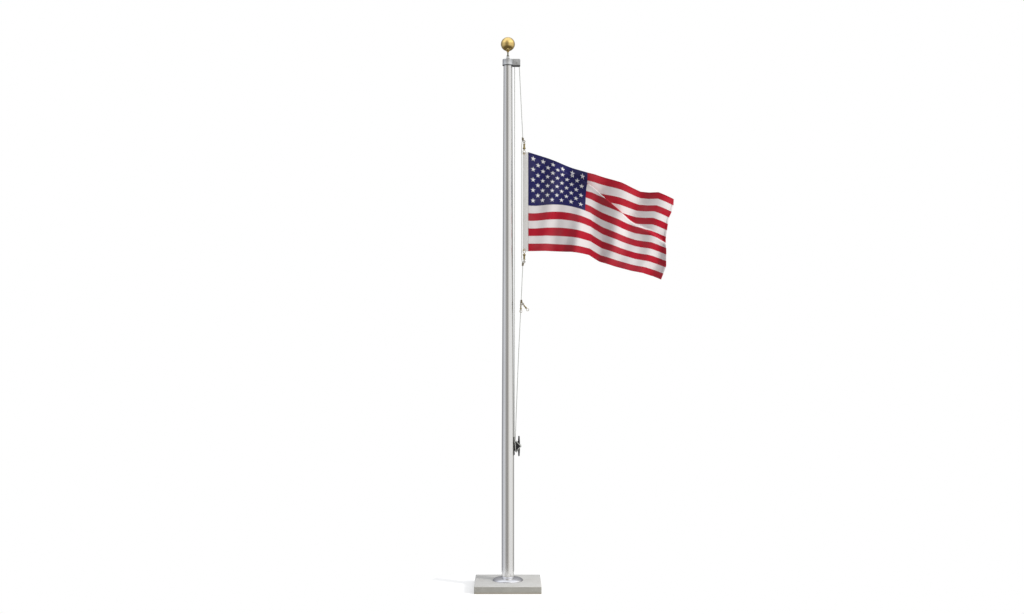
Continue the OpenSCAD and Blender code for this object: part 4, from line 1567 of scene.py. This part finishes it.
    def stitches(self, lo: Point, hi: Point) -> bpy.types.Object:
        """Rows of stitches down the heading on both faces."""
        boxes, faces = [], []
        length, half, rise = 0.0042, 0.0005, 0.00035
        corners = np.array([(a, b, c) for a in (-1, 1) for b in (-1, 1) for c in (-1, 1)], float)
        quads = ((0, 1, 3, 2), (4, 6, 7, 5), (0, 4, 5, 1), (2, 3, 7, 6), (0, 2, 6, 4), (1, 5, 7, 3))
        for x in (lo[0] + 0.004, hi[0] - 0.012, hi[0] - 0.004):
            for y in (lo[1], hi[1]):
                for i in range(int((hi[2] - lo[2] - 0.008) / 0.0062)):
                    z = lo[2] + 0.006 + 0.0062 * i
                    start = 8 * len(boxes)
                    box = corners * (half, rise, length / 2) + (x, y, z)
                    boxes.append(box)
                    faces += [tuple(start + k for k in q) for q in quads]
        obj = mesh_piece("heading_stitches", np.vstack(boxes), faces)
        dress(obj, material(Finish.SEAM_THREAD))
        place(obj, "flag", "canvas")
        return obj

    def build(self) -> None:
        nylon = FlagNylon(self.fly, self.hoist, self.canton).build()
        sheet = self.cloth(nylon)
        sewn = self.hems(nylon) + [self.stars()] + self.heading()


# ---------------------------------------------------------------- hardware and studio
def dress_hardware(nodes: dict[str, bpy.types.Object]) -> None:
    """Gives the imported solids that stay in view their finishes."""
    finishes = {
        Finish.BRASS: [
            "upper_snap_eye", "upper_snap_hook", "lower_snap_eye", "lower_snap_hook",
            "spare_snap_eye", "spare_snap_hook", "spare_snap_eye_2", "spare_snap_hook_2",
        ],
        Finish.BRIGHT_BRASS: [
            "upper_snap_gate", "lower_snap_gate", "spare_snap_gate", "spare_snap_gate_2",
            "upper_grommet", "lower_grommet", "finial_upper_nut",
        ],
        Finish.STEEL: ["sheave_pin", "sheave_pin_nut", "truck_set_screws", "cleat_screws"],
        Finish.SPINDLE: ["finial_spindle", "finial_lower_nut"],
        Finish.NYLON: ["pulley_sheave"],
    }
    for finish, names in finishes.items():
        for name in names:
            nodes[name].data.materials.clear()
            nodes[name].data.materials.append(material(finish))


@dataclass
class Studio:
    """Pale floor, soft lights and the camera."""

    camera_at: Point = (0.057, -20.5, 3.885)
    lens: float = 52.07

    def world(self) -> None:
        """White to the camera; to the object, a pale room with soft lights round it."""
        world = bpy.data.worlds.new("studio")
        bpy.context.scene.world = world
        world.use_nodes = True
        tree = world.node_tree
        tree.nodes.clear()
        out = tree.nodes.new("ShaderNodeOutputWorld")
        coord = tree.nodes.new("ShaderNodeTexCoord")
        split = tree.nodes.new("ShaderNodeSeparateXYZ")
        tree.links.new(coord.outputs["Generated"], split.inputs[0])
        turn = tree.nodes.new("ShaderNodeMath")
        turn.operation = "ARCTAN2"
        flip = tree.nodes.new("ShaderNodeMath")
        flip.operation = "MULTIPLY"
        flip.inputs[1].default_value = -1.0
        tree.links.new(split.outputs["Y"], flip.inputs[0])
        tree.links.new(split.outputs["X"], turn.inputs[0])
        tree.links.new(flip.outputs[0], turn.inputs[1])
        share = tree.nodes.new("ShaderNodeMapRange")
        share.inputs["From Min"].default_value = -math.pi
        share.inputs["From Max"].default_value = math.pi
        tree.links.new(turn.outputs[0], share.inputs["Value"])
        ramp = tree.nodes.new("ShaderNodeValToRGB")
        ramp.color_ramp.interpolation = "B_SPLINE"
        stops = [
            (-180, 0.42, 0.42, 0.43), (-150, 0.22, 0.22, 0.23), (-112, 0.42, 0.43, 0.46),
            (-74, 0.92, 0.95, 1.02), (-48, 0.62, 0.62, 0.62), (-22, 0.28, 0.27, 0.26),
            (0, 0.36, 0.35, 0.33), (30, 1.0, 0.98, 0.94), (60, 1.95, 1.93, 1.84),
            (85, 1.15, 1.14, 1.1), (120, 0.45, 0.44, 0.43), (150, 0.26, 0.26, 0.27),
            (180, 0.42, 0.42, 0.43),
        ]
        elements = ramp.color_ramp.elements
        while len(elements) < len(stops):
            elements.new(0.5)
        for element, (angle, r, g, b) in zip(elements, stops):
            element.position = (angle + 180) / 360
            element.color = (r, g, b, 1)
        tree.links.new(share.outputs[0], ramp.inputs[0])
        sky = tree.nodes.new("ShaderNodeMapRange")
        sky.inputs["From Min"].default_value = 0.66
        sky.inputs["From Max"].default_value = 0.9
        tree.links.new(split.outputs["Z"], sky.inputs["Value"])
        height = tree.nodes.new("ShaderNodeMapRange")
        height.inputs["From Min"].default_value = 0.24
        height.inputs["From Max"].default_value = 0.55
        height.inputs["To Min"].default_value = 1.0
        height.inputs["To Max"].default_value = 1.8
        tree.links.new(split.outputs["Z"], height.inputs["Value"])
        soft = tree.nodes.new("ShaderNodeVectorMath")
        soft.operation = "SCALE"
        tree.links.new(ramp.outputs[0], soft.inputs[0])
        tree.links.new(height.outputs[0], soft.inputs["Scale"])
        blend = tree.nodes.new("ShaderNodeMix")
        blend.data_type = "RGBA"
        blend.inputs[7].default_value = (1.35, 1.38, 1.42, 1)
        tree.links.new(sky.outputs[0], blend.inputs[0])
        tree.links.new(soft.outputs[0], blend.inputs[6])
        room = tree.nodes.new("ShaderNodeBackground")
        depth = tree.nodes.new("ShaderNodeMapRange")
        depth.inputs["From Min"].default_value = -0.22
        depth.inputs["From Max"].default_value = -0.65
        tree.links.new(split.outputs["Z"], depth.inputs["Value"])
        under = tree.nodes.new("ShaderNodeMix")
        under.data_type = "RGBA"
        under.inputs[7].default_value = (0.16, 0.15, 0.13, 1)
        tree.links.new(depth.outputs[0], under.inputs[0])
        tree.links.new(blend.outputs[2], under.inputs[6])
        tree.links.new(under.outputs[2], room.inputs["Color"])
        plain = tree.nodes.new("ShaderNodeBackground")
        plain.inputs["Color"].default_value = (1, 1, 1, 1)
        plain.inputs["Strength"].default_value = 1.0
        path = tree.nodes.new("ShaderNodeLightPath")
        power = tree.nodes.new("ShaderNodeMapRange")
        power.inputs["To Min"].default_value = 0.60
        power.inputs["To Max"].default_value = 0.93
        tree.links.new(path.outputs["Is Glossy Ray"], power.inputs["Value"])
        tree.links.new(power.outputs[0], room.inputs["Strength"])
        both = tree.nodes.new("ShaderNodeMixShader")
        tree.links.new(path.outputs["Is Camera Ray"], both.inputs[0])
        tree.links.new(room.outputs[0], both.inputs[1])
        tree.links.new(plain.outputs[0], both.inputs[2])
        tree.links.new(both.outputs[0], out.inputs["Surface"])

    def floor(self) -> None:
        """A pale disc of floor under the pad."""
        deselect()
        bpy.ops.mesh.primitive_circle_add(vertices=96, radius=1.25, fill_type="NGON", location=(0, 0, -0.001))
        obj = bpy.context.object
        obj.name = "studio_floor"
        s = Shader("pale_floor", Metallic=0.0, Roughness=0.9, Specular_IOR_Level=0.0)
        s.bsdf.inputs["Base Color"].default_value = (0.86, 0.86, 0.86, 1)
        s.bsdf.inputs["Emission Color"].default_value = (1, 1, 1, 1)
        s.bsdf.inputs["Emission Strength"].default_value = 0.34
        dress(obj, s.material)

    def light(self, name: str, at: Point, towards: Point, size: tuple[float, float],
              power: float, tint: tuple[float, float, float] = (1, 1, 1)) -> None:
        """Adds a soft area light.

        Args:
            name: the light's name.
            at: its place.
            towards: where it points.
            size: width and height.
            power: watts.
            tint: its colour.
        """
        data = bpy.data.lights.new(name, "AREA")
        data.shape, data.size, data.size_y = "RECTANGLE", size[0], size[1]
        data.energy, data.color = power, tint
        obj = bpy.data.objects.new(name, data)
        obj.location = at
        obj.rotation_euler = (Vector(towards) - Vector(at)).to_track_quat("-Z", "Y").to_euler()
        obj.visible_glossy = False
        bpy.context.scene.collection.objects.link(obj)

    def camera(self) -> None:
        """A level camera, square to the pole."""
        data = bpy.data.cameras.new("camera")
        data.lens, data.sensor_width = self.lens, 36.0
        data.clip_end = 500
        obj = bpy.data.objects.new("camera", data)
        obj.location = self.camera_at
        obj.rotation_euler = (math.pi / 2, 0, 0)
        bpy.context.scene.collection.objects.link(obj)
        bpy.context.scene.camera = obj

    def build(self) -> None:
        """Sets the room, its lights, the view transform and the camera."""
        self.world()
        self.floor()
        self.light("key", (11.0, -7.0, 7.5), (0.2, 0, 2.6), (1.4, 2.6), 1150, (1, 0.98, 0.95))
        self.light("fill", (-10.0, -8.0, 6.0), (0.3, 0, 4.0), (4.0, 7.0), 130, (0.93, 0.96, 1))
        scene = bpy.context.scene
        scene.view_settings.view_transform = "Standard"
        scene.view_settings.look = "None"
        self.camera()


def main() -> None:
    """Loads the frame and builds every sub-assembly."""
    logging.basicConfig(level=logging.INFO, format="%(message)s")
    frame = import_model()
    Studio().build()
    for part in (Base(), Shaft(), Truck(), Finial(), Cleat(), Halyard(), Flag()):
        LOG.info("building %s", type(part).__name__)
        part.build()
    dress_hardware(frame["nodes"])
    bpy.context.view_layer.update()


if __name__ == "__main__":
    main()
